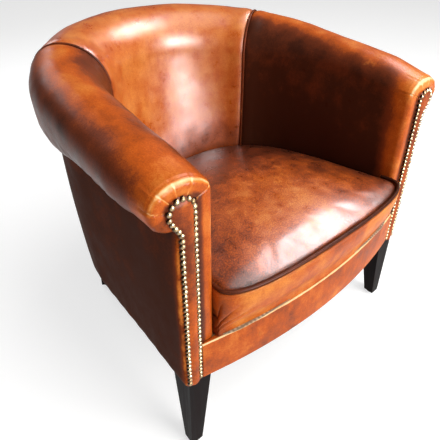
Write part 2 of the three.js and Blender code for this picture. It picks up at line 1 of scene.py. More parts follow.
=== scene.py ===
"""A worn leather club chair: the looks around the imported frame, in metres.

The shell of arms and back follows a U in plan: straight arms, then a half circle. A station is a place
along the U, "out" is the distance outward from it and z the height, as in the part's own source.
"""
import math
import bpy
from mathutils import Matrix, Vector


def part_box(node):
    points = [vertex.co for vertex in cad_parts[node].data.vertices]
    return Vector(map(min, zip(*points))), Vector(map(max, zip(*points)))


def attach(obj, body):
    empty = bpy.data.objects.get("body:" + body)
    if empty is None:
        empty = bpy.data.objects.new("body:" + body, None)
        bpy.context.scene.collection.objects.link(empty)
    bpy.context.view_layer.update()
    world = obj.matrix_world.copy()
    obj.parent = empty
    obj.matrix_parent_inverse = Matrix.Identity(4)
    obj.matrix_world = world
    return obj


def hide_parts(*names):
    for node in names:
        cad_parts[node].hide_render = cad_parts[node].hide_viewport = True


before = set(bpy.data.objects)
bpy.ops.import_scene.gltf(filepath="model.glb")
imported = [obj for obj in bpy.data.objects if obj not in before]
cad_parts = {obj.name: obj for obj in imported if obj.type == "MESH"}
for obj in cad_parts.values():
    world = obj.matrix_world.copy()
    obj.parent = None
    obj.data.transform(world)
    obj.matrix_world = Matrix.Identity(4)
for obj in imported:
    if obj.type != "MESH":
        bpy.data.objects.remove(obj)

from types import SimpleNamespace

import bpy
import numpy as np
from mathutils import Vector, noise

scene = bpy.context.scene

MM = 0.001
BODY = "root"
LEFT, RIGHT = -1, 1

# ---- Sizes of the frame that the pieces are built on

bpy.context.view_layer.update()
arm_low, arm_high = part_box("inside_arm_leather_right")
strip_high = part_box("front_rail_strip")[1]
lining_low, lining_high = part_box("dust_cover")

FRONT_Y = arm_low[1]  # the arms' front face
BACK_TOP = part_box("inside_back_leather")[1][2]
COVER_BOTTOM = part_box("outside_back_leather")[0][2]
STRIP_HALF = strip_high[0]
LEDGE = strip_high[2]  # the top of the strip over the front rail, under the seat's band

# ---- The shell of arms and back

ROLL_HALF = 59 * MM  # half the roll's width along the arms
HALF = arm_high[0] - 2 * ROLL_HALF  # middle of the chair to an arm's inside face
ARM_LENGTH = 319 * MM
ARM_TOP = 637 * MM
ROLL_HEIGHT_FRONT = 48 * MM
ROLL_HEIGHT_BACK = ROLL_HALF
FRONT_PULL = 12 * MM  # how much smaller the roll is pulled at the arm's front
FRONT_PULL_LENGTH = 110 * MM
TUCK_Z_FRONT = 545 * MM  # the tuck is where the cover turns in under the roll
TUCK_Z_BACK = 516 * MM
TUCK_OUT_BACK = 88 * MM
SHOULDER_WIDTH_BACK = 96 * MM  # the shoulder is the roll's inner quarter
SHOULDER_HEIGHT_BACK = 105 * MM
BACK_RAKE = 74 * MM  # how far the back's inside face leans back
WALL = 66 * MM  # from an inside face to the outside one, at the bottom
INSIDE_BOTTOM = 289 * MM
SEAM_ANGLE = math.radians(58)  # the seams, measured from the middle of the back
SWELL_START = 170 * MM  # the roll grows from its arm's size to its back's between these places
SWELL_END = 500 * MM
FRONT_ROUND = 12 * MM  # the cover's round front edge, and how far it then turns in
FRONT_RETURN = 31 * MM
FINE_ROWS = 60 * MM  # the arm cover's rows of points lie closer together up to here
TINY = 1e-6
PANEL_ROUND = 5 * MM  # the outside panel's soft front edge
PANEL_RETURN = 10 * MM
PANEL_GAP = 0.4 * MM
PANEL_BULGE = 16 * MM
SHELL_REAR = ARM_LENGTH + HALF + ROLL_HALF
LEATHER = 2.5 * MM
CORD_SIDES = 14
SEAM_GAP = 1.8 * MM  # what the arm's and the back's cover each leave free for the piping

# ---- The seat and the strip under it

SEAT_FRONT = 397 * MM
SEAT_REAR = 337 * MM
SEAT_DEPTH = 470 * MM
SEAT_OVERHANG = 57 * MM
SEAT_CROWN = 27 * MM
SEAT_CENTRE_Y = 205 * MM
SEAT_BEHIND_CENTRE = 290 * MM
SEAT_FRONT_POINTS = 141
CORNER_POWER = 2.7  # how square the seat's front corners are: 2 is a plain ellipse
BAND_BULGE = 6 * MM
BAND_TAIL = 30 * MM  # how far the band runs back beside each arm
BAND_STITCH = 9 * MM  # the band's line of stitches, below its top
STRIP_BOW = 34 * MM
STRIP_END = 4 * MM
LEDGE_SHOWS = 2.4 * MM  # how much of the strip's top shows in front of the seat
PIPING_RADIUS = 3 * MM
SEAT_PIPING_RADIUS = 3.6 * MM
CLOTH_FRAMES = 20
CLOTH_PRESSURE = 4
CLOTH_VOXEL = 6 * MM
SEAT_SWELL = 7 * MM  # the furthest that the cloth may carry a point of the seat
LINING_FRONT = 14 * MM  # the lining's front edge, behind the strip's face

# ---- The nailed facings on the arms' fronts

FACING_INNER = 32 * MM
FACING_OUTER = 63.2 * MM
FACING_HEAD = 25 * MM  # radius of the round head
HEAD_OUT = FACING_INNER + FACING_HEAD
HEAD_SLANT = math.radians(32)  # how far round the head the slanting line to the neck begins
HEAD_Z = 578 * MM
FACING_FACE = 3.3 * MM  # how far the facing's face stands in front of the arm
FACING_PUFF = 3.4 * MM
FACING_RIM = 2.4 * MM
PLEATS = [math.radians(a) for a in (-69, -29, 10, 42, 73, 111)]  # folds round the head, 0 is up
PLEATS_BELOW_HEAD = 42 * MM
NAIL_INSET = 4.0 * MM
NAIL_PITCH = 9.8 * MM
NAIL_RADIUS = 4.7 * MM
NAIL_HEIGHT = 4.0 * MM
NAIL_SIDES = 18
NAIL_SCATTER = 0.7 * MM
NAIL_TILT = 0.18
OUTLINE_STEPS = 200

# ---- Camera and backdrop

CAMERA_PLACE = Vector((-0.5728, -0.7106, 0.9210))
CAMERA_TARGET = Vector((0.1735, 0.1952, 0.2418))
CAMERA_SHIFT = (0.001, -0.130)
LIGHT_TARGET = Vector((0, 0, 0.45))
FLOOR_HALF = 12.0
WORLD_LIGHT = 0.2
WORLD_SEEN = 0.9  # the backdrop is paler to the camera than it is as a light


# ---- Numbers

def lerp(a, b, t):
    return a + (b - a) * t


def up_to(start, end, count):
    """Evenly spaced values from start towards end, without the end itself."""
    return np.linspace(start, end, count, endpoint=False)


def ease(value, low, high):
    """0 below low and 1 above high, with a smooth rise between."""
    t = np.clip((value - low) / (high - low), 0, 1)
    return t * t * (3 - 2 * t)


def fade(value, low, high):
    return 1 - ease(value, low, high)


def bump(distance, width):
    """1 at no distance, falling smoothly to 0 over about twice the width."""
    return np.exp(-(distance / width) ** 2)


def rumple(points, size, seed):
    """Smooth random height from -1 to 1 at each point, with hills about size across."""
    flat = points.reshape(-1, 3) / size + seed
    values = [noise.noise(Vector(p)) for p in flat]
    return np.array(values).reshape(points.shape[:-1])


def mirrored(side):
    """What to multiply points of the left side by, to have them on the given side."""
    return np.array([-side, 1, 1])


ACROSS = mirrored(RIGHT)  # from one side to the other


# ---- The U and its cross-section

def arm_stations(along):
    """Each station's row holds x, y, the outward direction's x and y, and its place along the U."""
    still = np.zeros_like(along)
    return np.stack([still - HALF, along, still - 1, still, along], axis=1)


def back_stations(angle):
    """Angle 0 is the middle of the back, negative towards the left arm."""
    angle = np.asarray(angle, float)
    out_x, out_y = np.sin(angle), np.cos(angle)
    along = ARM_LENGTH + HALF * (math.pi / 2 - np.abs(angle))
    return np.stack([HALF * out_x, ARM_LENGTH + HALF * out_y, out_x, out_y, along], axis=1)


def place(stations, out, z):
    x, y, out_x, out_y, _ = (stations[:, [i]] for i in range(5))
    out, z = np.broadcast_arrays(out, z)
    return np.stack([x + out_x * out, FRONT_Y + y + out_y * out, z + 0 * out], axis=-1)


def section(stations):
    """The cross-section's measures at each station, each as a column."""
    out_y, along = stations[:, [3]], stations[:, [4]]
    swell = ease(along, SWELL_START, SWELL_END)
    crown_y = stations[:, [1]] + out_y * ROLL_HALF
    rise = crown_y / SHELL_REAR
    pull = FRONT_PULL * fade(along, 0, FRONT_PULL_LENGTH)
    top = lerp(ARM_TOP, BACK_TOP, rise) - pull
    outer_height = lerp(ROLL_HEIGHT_FRONT, ROLL_HEIGHT_BACK, swell) - pull
    shoulder_height = lerp(ROLL_HEIGHT_FRONT, SHOULDER_HEIGHT_BACK, swell) - pull
    return SimpleNamespace(
        top=top,
        wide=top - outer_height,
        outer_height=outer_height,
        outer_width=ROLL_HALF - pull,
        shoulder_width=lerp(ROLL_HALF, SHOULDER_WIDTH_BACK, swell),
        shoulder_height=shoulder_height,
        shoulder_z=top - shoulder_height,
        tuck_out=lerp(WALL, TUCK_OUT_BACK, swell),
        tuck_z=lerp(TUCK_Z_FRONT, TUCK_Z_BACK, swell),
        rake=BACK_RAKE * np.clip(out_y, 0, 1) ** 3,
    )


def inside_face(shape, z):
    depth = np.clip((shape.shoulder_z - z) / (shape.shoulder_z - INSIDE_BOTTOM), 0, 1)
    return ROLL_HALF - shape.shoulder_width - shape.rake * depth ** 1.3


def cover_profile(stations, inset):
    """(out, z) of the cover from the inside face's lower edge, over the roll, to the tuck under it."""
    shape = section(stations)
    bottom = lerp(LEDGE - 3 * MM, INSIDE_BOTTOM, ease(stations[:, [4]], 20 * MM, 50 * MM))
    inset = inset + np.zeros_like(shape.top)
    wall = up_to(0, 1, 44)[None]
    shoulder = up_to(0, math.pi / 2, 34)[None]
    outer = up_to(0, math.pi / 2, 26)[None]
    under = np.linspace(0, math.pi / 2, 18)[None]
    wall_z = lerp(bottom, shape.shoulder_z, wall)
    under_width = ROLL_HALF + shape.outer_width - shape.tuck_out
    out = [
        inside_face(shape, wall_z) + inset,
        ROLL_HALF - (shape.shoulder_width - inset) * np.cos(shoulder),
        ROLL_HALF + (shape.outer_width - inset) * np.sin(outer),
        shape.tuck_out + (under_width - inset) * np.cos(under),
    ]
    z = [
        wall_z + 0 * inset,
        shape.shoulder_z + (shape.shoulder_height - inset) * np.sin(shoulder),
        shape.wide + (shape.outer_height - inset) * np.cos(outer),
        shape.wide - (shape.wide - shape.tuck_z - inset) * np.sin(under),
    ]
    return np.concatenate(out, axis=1), np.concatenate(z, axis=1)


# ---- Meshes

def grid_faces(rows, columns, flip):
    index = np.arange(rows * columns).reshape(rows, columns)
    corners = [index[:-1, :-1], index[1:, :-1], index[1:, 1:], index[:-1, 1:]]
    if flip:
        corners.reverse()
    return np.stack([c.ravel() for c in corners], axis=1).tolist()


def ring_faces(count, size):
    """Faces of a closed body made of rings, with a flat face at each end."""
    faces = []
    for i in range(count - 1):
        for k in range(size):
            here, after = i * size + k, i * size + (k + 1) % size
            faces.append((here, after, after + size, here + size))
    faces.append(tuple(range((count - 1) * size, count * size)))
    faces.append(tuple(range(size - 1, -1, -1)))
    return faces


def raised(points, height):
    """A grid of points, each moved out along the surface's normal by its height."""
    normals = np.cross(np.gradient(points, axis=0), np.gradient(points, axis=1))
    normals = normals / np.maximum(np.linalg.norm(normals, axis=-1, keepdims=True), 1e-12)
    return points + normals * height[..., None]


def places_of(mesh):
    return np.array([vertex.co for vertex in mesh.vertices])


def set_attributes(mesh, attributes):
    for key, values in attributes.items():
        attribute = mesh.attributes.new(key, "FLOAT", "POINT")
        attribute.data.foreach_set("value", np.ravel(values).astype(np.float32))


def add_piece(name, vertices, faces, material, attributes):
    mesh = bpy.data.meshes.new(name)
    mesh.from_pydata(np.asarray(vertices).reshape(-1, 3).tolist(), [], faces)
    mesh.shade_smooth()
    set_attributes(mesh, attributes)
    mesh.materials.append(material)
    mesh.update()
    piece = bpy.data.objects.new(name, mesh)
    scene.collection.objects.link(piece)
    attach(piece, BODY)
    return piece


def skin_piece(name, points, material, side, attributes, thickness=LEATHER):
    """A closed skin under a grid of points that was made for the left side."""
    rows, columns = points.shape[:2]
    faces = grid_faces(rows, columns, side == RIGHT)
    piece = add_piece(name, points * mirrored(side), faces, material, attributes)
    skin = piece.modifiers.new("skin", "SOLIDIFY")
    skin.thickness = thickness
    skin.offset = -1
    return piece


def cover_piece(name, points, material, side, attributes, nodes, thickness=LEATHER):
    """A leather cover that stands for some of the CAD's nodes."""
    piece = skin_piece(name, points, material, side, attributes, thickness)
    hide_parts(*nodes)


def piping(name, centre, radius, attributes):
    """A round leather cord through the centre points, with both ends closed."""
    centre = np.asarray(centre)
    ahead = np.gradient(centre, axis=0)
    ahead /= np.linalg.norm(ahead, axis=1, keepdims=True)
    rings = []
    across = Vector((0, 0, 1)).cross(Vector(ahead[0]))
    if across.length < 0.1:
        across = Vector((1, 0, 0)).cross(Vector(ahead[0]))
    for point, direction in zip(centre, ahead):
        direction = Vector(direction)
        across = (across - direction * across.dot(direction)).normalized()
        up = direction.cross(across)
        for k in range(CORD_SIDES):
            turn = 2 * math.pi * k / CORD_SIDES
            rings.append(Vector(point) + radius * (across * math.cos(turn) + up * math.sin(turn)))
    faces = ring_faces(len(centre), CORD_SIDES)
    each = {key: np.repeat(values, CORD_SIDES) for key, values in attributes.items()}
    return add_piece(name, [tuple(p) for p in rings], faces, shaded_piping_leather, each)


# ---- Materials

class Nodes:
    """A short way to wire a material's nodes."""

    def __init__(self, name):
        self.material = bpy.data.materials.new(name)
        self.material.use_nodes = True
        self.tree = self.material.node_tree
        self.shader = self.tree.nodes["Principled BSDF"]
        self.place = self.add("ShaderNodeTexCoord").outputs["Object"]

    def add(self, kind, **settings):
        node = self.tree.nodes.new(kind)
        for key, value in settings.items():
            setattr(node, key, value)
        return node

    def put(self, value, socket):
        if isinstance(value, bpy.types.NodeSocket):
            self.tree.links.new(value, socket)
        else:
            socket.default_value = value

    def noise(self, scale, detail, roughness, stretch=(1, 1, 1), seed=0.0):
        node = self.add("ShaderNodeTexNoise")
        mapping = self.add("ShaderNodeMapping")
        mapping.inputs["Location"].default_value = (seed, seed * 0.7, seed * 1.3)
        mapping.inputs["Scale"].default_value = stretch
        self.put(self.place, mapping.inputs["Vector"])
        self.put(mapping.outputs["Vector"], node.inputs["Vector"])
        node.inputs["Scale"].default_value = scale
        node.inputs["Detail"].default_value = detail
        node.inputs["Roughness"].default_value = roughness
        return node.outputs["Fac"]

    def cells(self, scale, feature="F1"):
        node = self.add("ShaderNodeTexVoronoi", feature=feature)
        self.put(self.place, node.inputs["Vector"])
        node.inputs["Scale"].default_value = scale
        return node.outputs["Distance"]

    def math(self, operation, a, b, c=0.0):
        node = self.add("ShaderNodeMath", operation=operation)
        for value, socket in zip((a, b, c), node.inputs):
            self.put(value, socket)
        return node.outputs["Value"]

    def spread(self, value, low, high, to_low=0.0, to_high=1.0):
        """Stretches value from the range low to high onto the range to_low to to_high."""
        node = self.add("ShaderNodeMapRange")
        for item, socket in zip((value, low, high, to_low, to_high), node.inputs):
            self.put(item, socket)
        return node.outputs["Result"]

    def vary(self, pattern, amount, value):
        """Adds a pattern to a value, as far down as up."""
        return self.math("MULTIPLY_ADD", self.math("SUBTRACT", pattern, 0.5), amount, value)

    def ramp(self, value, stops):
        node = self.add("ShaderNodeValToRGB")
        elements = node.color_ramp.elements
        while len(elements) < len(stops):
            elements.new(0.5)
        for element, (position, colour) in zip(elements, stops):
            element.position = position
            element.color = (*colour, 1)
        self.put(value, node.inputs["Fac"])
        return node.outputs["Color"]

    def mix(self, share, a, b):
        node = self.add("ShaderNodeMix", data_type="RGBA")
        self.put(share, node.inputs["Factor"])
        for colour, socket in ((a, node.inputs[6]), (b, node.inputs[7])):
            self.put(colour if isinstance(colour, bpy.types.NodeSocket) else (*colour, 1), socket)
        return node.outputs[2]

    def attribute(self, name):
        return self.add("ShaderNodeAttribute", attribute_name=name).outputs["Fac"]

    def bump(self, height, strength, distance):
        node = self.add("ShaderNodeBump")
        node.inputs["Strength"].default_value = strength
        node.inputs["Distance"].default_value = distance
        self.put(height, node.inputs["Height"])
        self.put(node.outputs["Normal"], self.shader.inputs["Normal"])

    def set(self, **values):
        for key, value in values.items():
            self.put(value, self.shader.inputs[key.replace("_", " ")])


NEAR_BLACK = (0.012, 0.005, 0.003)
DEEP_BROWN = (0.055, 0.014, 0.006)
RED_BROWN = (0.175, 0.033, 0.009)
BURNT_ORANGE = (0.47, 0.085, 0.008)
GOLD = (0.68, 0.225, 0.038)
CREAM = (0.86, 0.64, 0.34)
POLISHED = 0.25  # leather with more shine than this reflects as a polished surface does
POLISHED_IOR = 1.45
DULL_IOR = 1.22


def leather_material(name, tone_and_lighting, mottle, gloss, shine, seed=0.0, fine=0.4):
    """Aniline leather whose colour has rubbed off. On each piece, one attribute lightens or darkens it,
    for its own tone and as painted light and shade; one pales it where it is rubbed and where a
    highlight is painted; and one darkens it with grime and with painted shade."""
    n = Nodes(name)
    clouds = n.noise(7.0, 5.0, 0.6, seed=seed)
    patches = n.noise(26.0, 6.0, 0.65, seed=seed + 3)
    speckle = n.noise(420.0, 3.0, 0.6, seed=seed + 5)
    streaks = n.noise(60.0, 6.0, 0.7, stretch=(1.0, 0.35, 0.22), seed=seed + 8)
    shade = n.math("ADD", n.attribute("tone_and_lighting"), tone_and_lighting)
    for pattern, amount in (
        (clouds, 1.8 * mottle),
        (patches, 1.5 * mottle),
        (streaks, 0.7 * mottle),
        (speckle, fine),
    ):
        shade = n.vary(pattern, amount, shade)
    colour = n.ramp(shade, [
        (0.0, DEEP_BROWN),
        (0.34, RED_BROWN),
        (0.62, BURNT_ORANGE),
        (0.92, GOLD),
    ])
    dots = n.spread(n.noise(900.0, 2.0, 0.5, seed=seed + 2), 0.62, 0.72)
    dots = n.math("MULTIPLY", dots, n.spread(patches, 0.45, 0.65, 0.1, 0.75))
    colour = n.mix(dots, colour, DEEP_BROWN)
    scratch = n.noise(70.0, 8.0, 0.8, stretch=(2.6, 0.4, 1.0), seed=seed + 11)
    scratch = n.spread(scratch, 0.69, 0.76, 0.0, 0.45)
    colour = n.mix(scratch, colour, GOLD)
    rub_and_highlight = n.vary(patches, 1.6, n.attribute("wear_and_highlight"))
    colour = n.mix(n.spread(rub_and_highlight, 0.35, 0.85), colour, GOLD)
    colour = n.mix(n.spread(rub_and_highlight, 0.7, 1.15), colour, CREAM)
    dirt_and_shade = n.vary(streaks, 1.1, n.attribute("grime_and_shade"))
    colour = n.mix(n.spread(dirt_and_shade, 0.34, 1.0, 0.0, 0.92), colour, NEAR_BLACK)
    n.set(Base_Color=colour, Roughness=n.spread(patches, 0.3, 0.75, gloss - 0.07, gloss + 0.13))
    n.set(IOR=POLISHED_IOR if shine > POLISHED else DULL_IOR, Specular_IOR_Level=shine)
    n.set(Coat_Weight=0.2 * shine, Coat_Roughness=0.25)
    grain = n.cells(620.0)
    creases = n.cells(210.0, "DISTANCE_TO_EDGE")
    height = n.math("MULTIPLY_ADD", n.spread(creases, 0.0, 0.12), 0.5, n.math("MULTIPLY", grain, 0.5))
    height = n.math("MULTIPLY_ADD", patches, 1.6, height)
    n.bump(height, 0.22, 0.4 * MM)
    return n.material


def wood_material(name, dark, light, gloss):
    n = Nodes(name)
    grain = n.noise(14.0, 6.0, 0.6, stretch=(7, 7, 0.5))
    pores = n.noise(126.0, 4.0, 0.6, stretch=(8, 8, 0.6))
    colour = n.mix(n.spread(grain, 0.3, 0.7), dark, light)
    colour = n.mix(n.spread(pores, 0.58, 0.7, 0, 0.6), colour, tuple(c * 0.4 for c in dark))
    n.set(Base_Color=colour, Roughness=n.spread(grain, 0.3, 0.7, gloss, gloss + 0.2))
    n.set(IOR=1.2, Specular_IOR_Level=0.15)
    n.bump(pores, 0.15, 0.3 * MM)
    return n.material


def brass_material():
    n = Nodes("antique_brass")
    tarnish = n.noise(160.0, 5.0, 0.65)
    scuff = n.noise(900.0, 3.0, 0.6)
    colour = n.mix(n.spread(tarnish, 0.40, 0.62), (0.50, 0.38, 0.22), (0.12, 0.075, 0.035))
    # Painted shade at the rim of each nail's dome.
    colour = n.mix(n.attribute("grime_and_shade"), colour, (0.03, 0.018, 0.01))
    n.set(Base_Color=colour, Metallic=1.0, Roughness=n.spread(tarnish, 0.3, 0.7, 0.2, 0.42))
    n.bump(scuff, 0.12, 0.2 * MM)
    return n.material


def woven_material(name, dark, light, threads):
    n = Nodes(name)
    across = n.add("ShaderNodeTexWave", bands_direction="X")
    along = n.add("ShaderNodeTexWave", bands_direction="Y")
    for wave in (across, along):
        n.put(n.place, wave.inputs["Vector"])
        wave.inputs["Scale"].default_value = threads
        wave.inputs["Distortion"].default_value = 0.4
    weave = n.math("MULTIPLY", across.outputs["Fac"], along.outputs["Fac"])
    dust = n.noise(30.0, 5.0, 0.6)
    shade = n.vary(dust, 0.9, weave)
    n.set(Base_Color=n.mix(n.spread(shade, 0.0, 1.0), dark, light), Roughness=0.9)
    n.set(Sheen_Weight=0.3, Sheen_Roughness=0.5)
    n.bump(weave, 0.4, 0.4 * MM)
    return n.material


def fibre_material(name, dark, light):
    n = Nodes(name)
    fibres = n.noise(320.0, 6.0, 0.7)
    clouds = n.noise(25.0, 4.0, 0.6)
    shade = n.vary(clouds, 0.8, fibres)
    n.set(Base_Color=n.mix(n.spread(shade, 0.2, 0.8), dark, light), Roughness=0.95)
    n.set(Sheen_Weight=0.2)
    n.bump(fibres, 0.6, 1.0 * MM)
    return n.material


def glide_material():
    n = Nodes("glide_metal")
    wear = n.noise(220.0, 5.0, 0.6)
    n.set(Base_Color=n.mix(n.spread(wear, 0.35, 0.65), (0.03, 0.028, 0.026), (0.10, 0.095, 0.09)))
    n.set(Metallic=0.6, Roughness=n.spread(wear, 0.3, 0.7, 0.3, 0.55))
    n.bump(wear, 0.1, 0.2 * MM)
    return n.material


# Copies of one leather: the back's and the front's are lighter as painted light, the outside's and the
# piping's darker as painted shade.
arm_leather = leather_material("arm_leather_look", 0.57, 0.38, gloss=0.33, shine=0.24)
lit_back_leather = leather_material("lit_back_leather_look", 0.61, 0.36, gloss=0.31, shine=0.5)
shaded_outside_leather = leather_material("shaded_outside_leather_look", 0.30, 0.3, gloss=0.5, shine=0.03)
seat_leather = leather_material("seat_leather_look", 0.40, 0.55, gloss=0.31, shine=0.6, seed=4.0, fine=1.2)
lit_front_leather = leather_material("lit_front_leather_look", 0.68, 0.5, gloss=0.42, shine=0.24, seed=9.0)
shaded_piping_leather = leather_material("shaded_piping_leather_look", 0.14, 0.3, gloss=0.4, shine=0.16, seed=2.0)
leg_wood = wood_material("dark_leg_wood", (0.003, 0.002, 0.002), (0.010, 0.005, 0.005), 0.34)
frame_wood = wood_material("frame_wood_look", (0.36, 0.22, 0.10), (0.62, 0.43, 0.24), 0.6)
brass = brass_material()
padding_fibre = fibre_material("padding_fibre", (0.48, 0.42, 0.28), (0.80, 0.74, 0.58))
jute = woven_material("jute_webbing", (0.20, 0.14, 0.07), (0.50, 0.40, 0.24), threads=35.0)
lining = woven_material("black_lining", (0.004, 0.004, 0.004), (0.028, 0.026, 0.024), threads=70.0)
glide_metal = glide_material()


# ---- Shell covers

def head_polar(out, z):
    """Angle and distance about the scroll's middle. Angle 0 is up, positive outward."""
    return np.arctan2(out - HEAD_OUT, z - HEAD_Z), np.hypot(out - HEAD_OUT, z - HEAD_Z)


def pleat_height(out, z, depth):
    """Folds of the leather gathered round the scroll: a narrow valley with a soft lip beside it."""
    angle, radius = head_polar(out, z)
    height = np.zeros_like(out)
    for i, pleat in enumerate(PLEATS):
        away = (angle - pleat) * radius
        strength = depth * (0.75 + 0.25 * math.sin(5 * i))
        height -= strength * bump(away, 1.1 * MM)
        height += 0.55 * strength * bump(away - 3.4 * MM, 2.6 * MM)
    return height * (z > HEAD_Z - PLEATS_BELOW_HEAD)


def distance_to_seam(stations, out):
    """From each point of the shell to the nearer seam, or far away along the straight arms."""
    angle = np.abs(np.arctan2(stations[:, [0]], stations[:, [1]] - ARM_LENGTH))
    on_back = stations[:, [4]] > ARM_LENGTH
    return np.where(on_back, np.abs(SEAM_ANGLE - angle) * (HALF + out), 1.0)


def seam_pull(to_seam, swell, away, width):
    """The cover drawn in at a seam, with a low swell that far away beside it."""
    return swell * bump(to_seam - away, width) - 3.2 * MM * bump(to_seam, 7 * MM)


# Painted shade in the groove along a seam.
def seam_shade(to_seam):
    return 0.85 * bump(to_seam, 3.5 * MM)


def rows_to_seam(turned_in, radius, counts, along, seam_gap):
    """Stations from a turned-in edge round the arm's front, along the arm and on to the seam, and
    how far each one's profile is inset."""
    flat = up_to(turned_in, radius, counts[0])
    turn = up_to(math.pi / 2, 0, counts[1])
    angles = np.linspace(-math.pi / 2, -SEAM_ANGLE - seam_gap / HALF, 44)
    y = np.concatenate([0 * flat, radius * (1 - np.sin(turn)), along])
    inset = np.concatenate([flat, radius * (1 - np.cos(turn)), 0 * along, 0 * angles])
    return np.concatenate([arm_stations(y), back_stations(angles)]), inset[:, None]


def arm_relief(points, out, z, along, to_seam, tuck, seed):
    """Soft hollows, the pull of the seam, the pleats round the front and the puckers under the roll."""
    height = 1.6 * MM * rumple(points, 95 * MM, seed) + 0.5 * MM * rumple(points, 32 * MM, seed)
    height *= ease(along, 4 * MM, 40 * MM) * 0.8 + 0.2
    height += seam_pull(to_seam, 1.3 * MM, 20 * MM, 14 * MM)
    height += fade(along, 16 * MM, 50 * MM) * pleat_height(out, z, 1.7 * MM)
    puckers = np.sin(along / MM * 0.21 + 3 * rumple(points, 60 * MM, seed + 4))
    return height + 0.7 * MM * tuck * puckers * ease(along, 20 * MM, 60 * MM)


def arm_worn(out, z, along):
    """Rubbed pale along the front's round edge, on the pleats and on top of the roll's front."""
    angle, _ = head_polar(out, z)
    rim = bump(along - 4 * MM, 3.5 * MM)
    wear_and_highlight = rim * ease(z, HEAD_Z - 10 * MM, HEAD_Z + 30 * MM) * (0.95 - 0.2 * np.abs(angle + 0.1))
    wear_and_highlight += 0.12 * bump(along - 5 * MM, 8 * MM)
    cracks = -pleat_height(out, z, 1.0) * fade(along, 3 * MM, 14 * MM)
    wear_and_highlight += 0.9 * np.clip(cracks, 0, 1)
    on_roll = ease(z, HEAD_Z + 15 * MM, ARM_TOP - 3 * MM)
    return wear_and_highlight + 0.16 * on_roll * fade(along, 60 * MM, 260 * MM)


def arm_tone_and_lighting(out, z, along, inset, side):
    """Painted shade on the inside face and low on the outer face, darker beside the nails, and painted
    light in front and on the roll's top.
    """
    # Painted shade on the inside face, more on the right arm and more low down.
    inside = fade(out, -5 * MM, 0.75 * ROLL_HALF)
    low = fade(z, 380 * MM, 560 * MM)
    inside_shade = 0.48 if side == RIGHT else 0.28
    tone_and_lighting = (-(inside_shade + 0.28 * low) * inside - 0.03) * ease(along, 14 * MM, 70 * MM)
    # Painted light: lighter towards the front.
    tone_and_lighting += 0.08 * fade(along, 0, 90 * MM)
    tone_and_lighting -= 0.50 * (along < TINY) * ease(inset, 17 * MM, 27 * MM)
    # Painted shade low on the roll's outer face; painted light on the roll's top.
    outer_shade = ease(out, 1.2 * ROLL_HALF, 2 * ROLL_HALF)
    tone_and_lighting -= 0.40 * outer_shade * ease(along, 14 * MM, 60 * MM)
    return tone_and_lighting + 0.12 * bump(out - ROLL_HALF, 36 * MM) * (z > HEAD_Z)


def arm_shade(out, along, inset, to_seam, tuck):
    """Painted shade in the seam, in the tuck under the roll and along the nailed edge."""
    grime_and_shade = np.maximum(seam_shade(to_seam), 0.55 * tuck * np.ones_like(out))
    return np.maximum(grime_and_shade, 0.6 * (along < TINY) * bump(inset - FRONT_RETURN, 5 * MM))


def arm_cover(word, side):
    rows = np.concatenate([up_to(FRONT_ROUND, FINE_ROWS, 22), up_to(FINE_ROWS, ARM_LENGTH, 50)])
    stations, inset = rows_to_seam(FRONT_RETURN, FRONT_ROUND, (12, 14), rows, SEAM_GAP)
    along = stations[:, [4]]
    measured_at = stations.copy()
    turned = along[:, 0] < FRONT_ROUND
    measured_at[turned, 1] = measured_at[turned, 4] = 0
    out, z = cover_profile(measured_at, inset)
    points = place(stations, out, z)
    to_seam = distance_to_seam(stations, out)
    tuck = np.linspace(0, 1, out.shape[1])[None] > 0.9
    points = raised(points, arm_relief(points, out, z, along, to_seam, tuck, 7.3 + side))
    nodes = [f"{part}_{word}" for part in ("inside_arm_leather", "inside_arm_pad", "arm_roll_pad")]
    looks = {
        "tone_and_lighting": arm_tone_and_lighting(out, z, along, inset, side),
        "wear_and_highlight": arm_worn(out, z, along),
        "grime_and_shade": arm_shade(out, along, inset, to_seam, tuck),
    }
    cover_piece(f"arm_cover_{word}", points, arm_leather, side, looks, nodes)


def back_cover():
    edge = SEAM_ANGLE - SEAM_GAP / HALF
    stations = back_stations(np.linspace(-edge, edge, 120))
    out, z = cover_profile(stations, 0.0)
    points = place(stations, out, z)
    to_seam = distance_to_seam(stations, out)
    height = 2.0 * MM * rumple(points, 120 * MM, 2.1) + 0.6 * MM * rumple(points, 38 * MM, 5.6)
    points = raised(points, height + seam_pull(to_seam, 1.6 * MM, 22 * MM, 16 * MM))
    # Painted light on the face towards the seat; painted shade low down, on the outer side, in the seams
    # and where the seat meets the back.
    low = fade(z, 340 * MM, 470 * MM)
    faces_seat = out < ROLL_HALF
    tone_and_lighting = np.where(faces_seat, 0.10, -0.02) - 0.22 * low
    tone_and_lighting -= 0.12 * ease(out, ROLL_HALF, 2 * ROLL_HALF)
    at_seat = bump(z - SEAT_REAR - 1 * MM, 16 * MM) * faces_seat
    looks = {
        "tone_and_lighting": tone_and_lighting,
        "wear_and_highlight": 0.12 * ease(z, 640 * MM, 700 * MM),
        "grime_and_shade": np.maximum(seam_shade(to_seam), 0.5 * at_seat),
    }
    nodes = ["inside_back_leather", "inside_back_pad", "back_roll_pad"]
    cover_piece("back_cover", points, lit_back_leather, LEFT, looks, nodes)


def outside_relief(points, along, to_bottom, to_seam, seed):
    """Long soft wrinkles, and the leather drawn in along its lower edge and its seams."""
    wrinkle = rumple(points * np.array([1, 1, 0.35]), 45 * MM, seed + 2)
    height = 1.2 * MM * rumple(points, 110 * MM, seed) + 0.4 * MM * wrinkle
    height += 0.35 * MM * np.sin(along / MM * 0.16) * bump(to_bottom - 8 * MM, 22 * MM)
    height *= ease(along, 0, 20 * MM)
    return height - 1.5 * MM * bump(to_bottom, 5 * MM) - 1.8 * MM * bump(to_seam, 4 * MM)


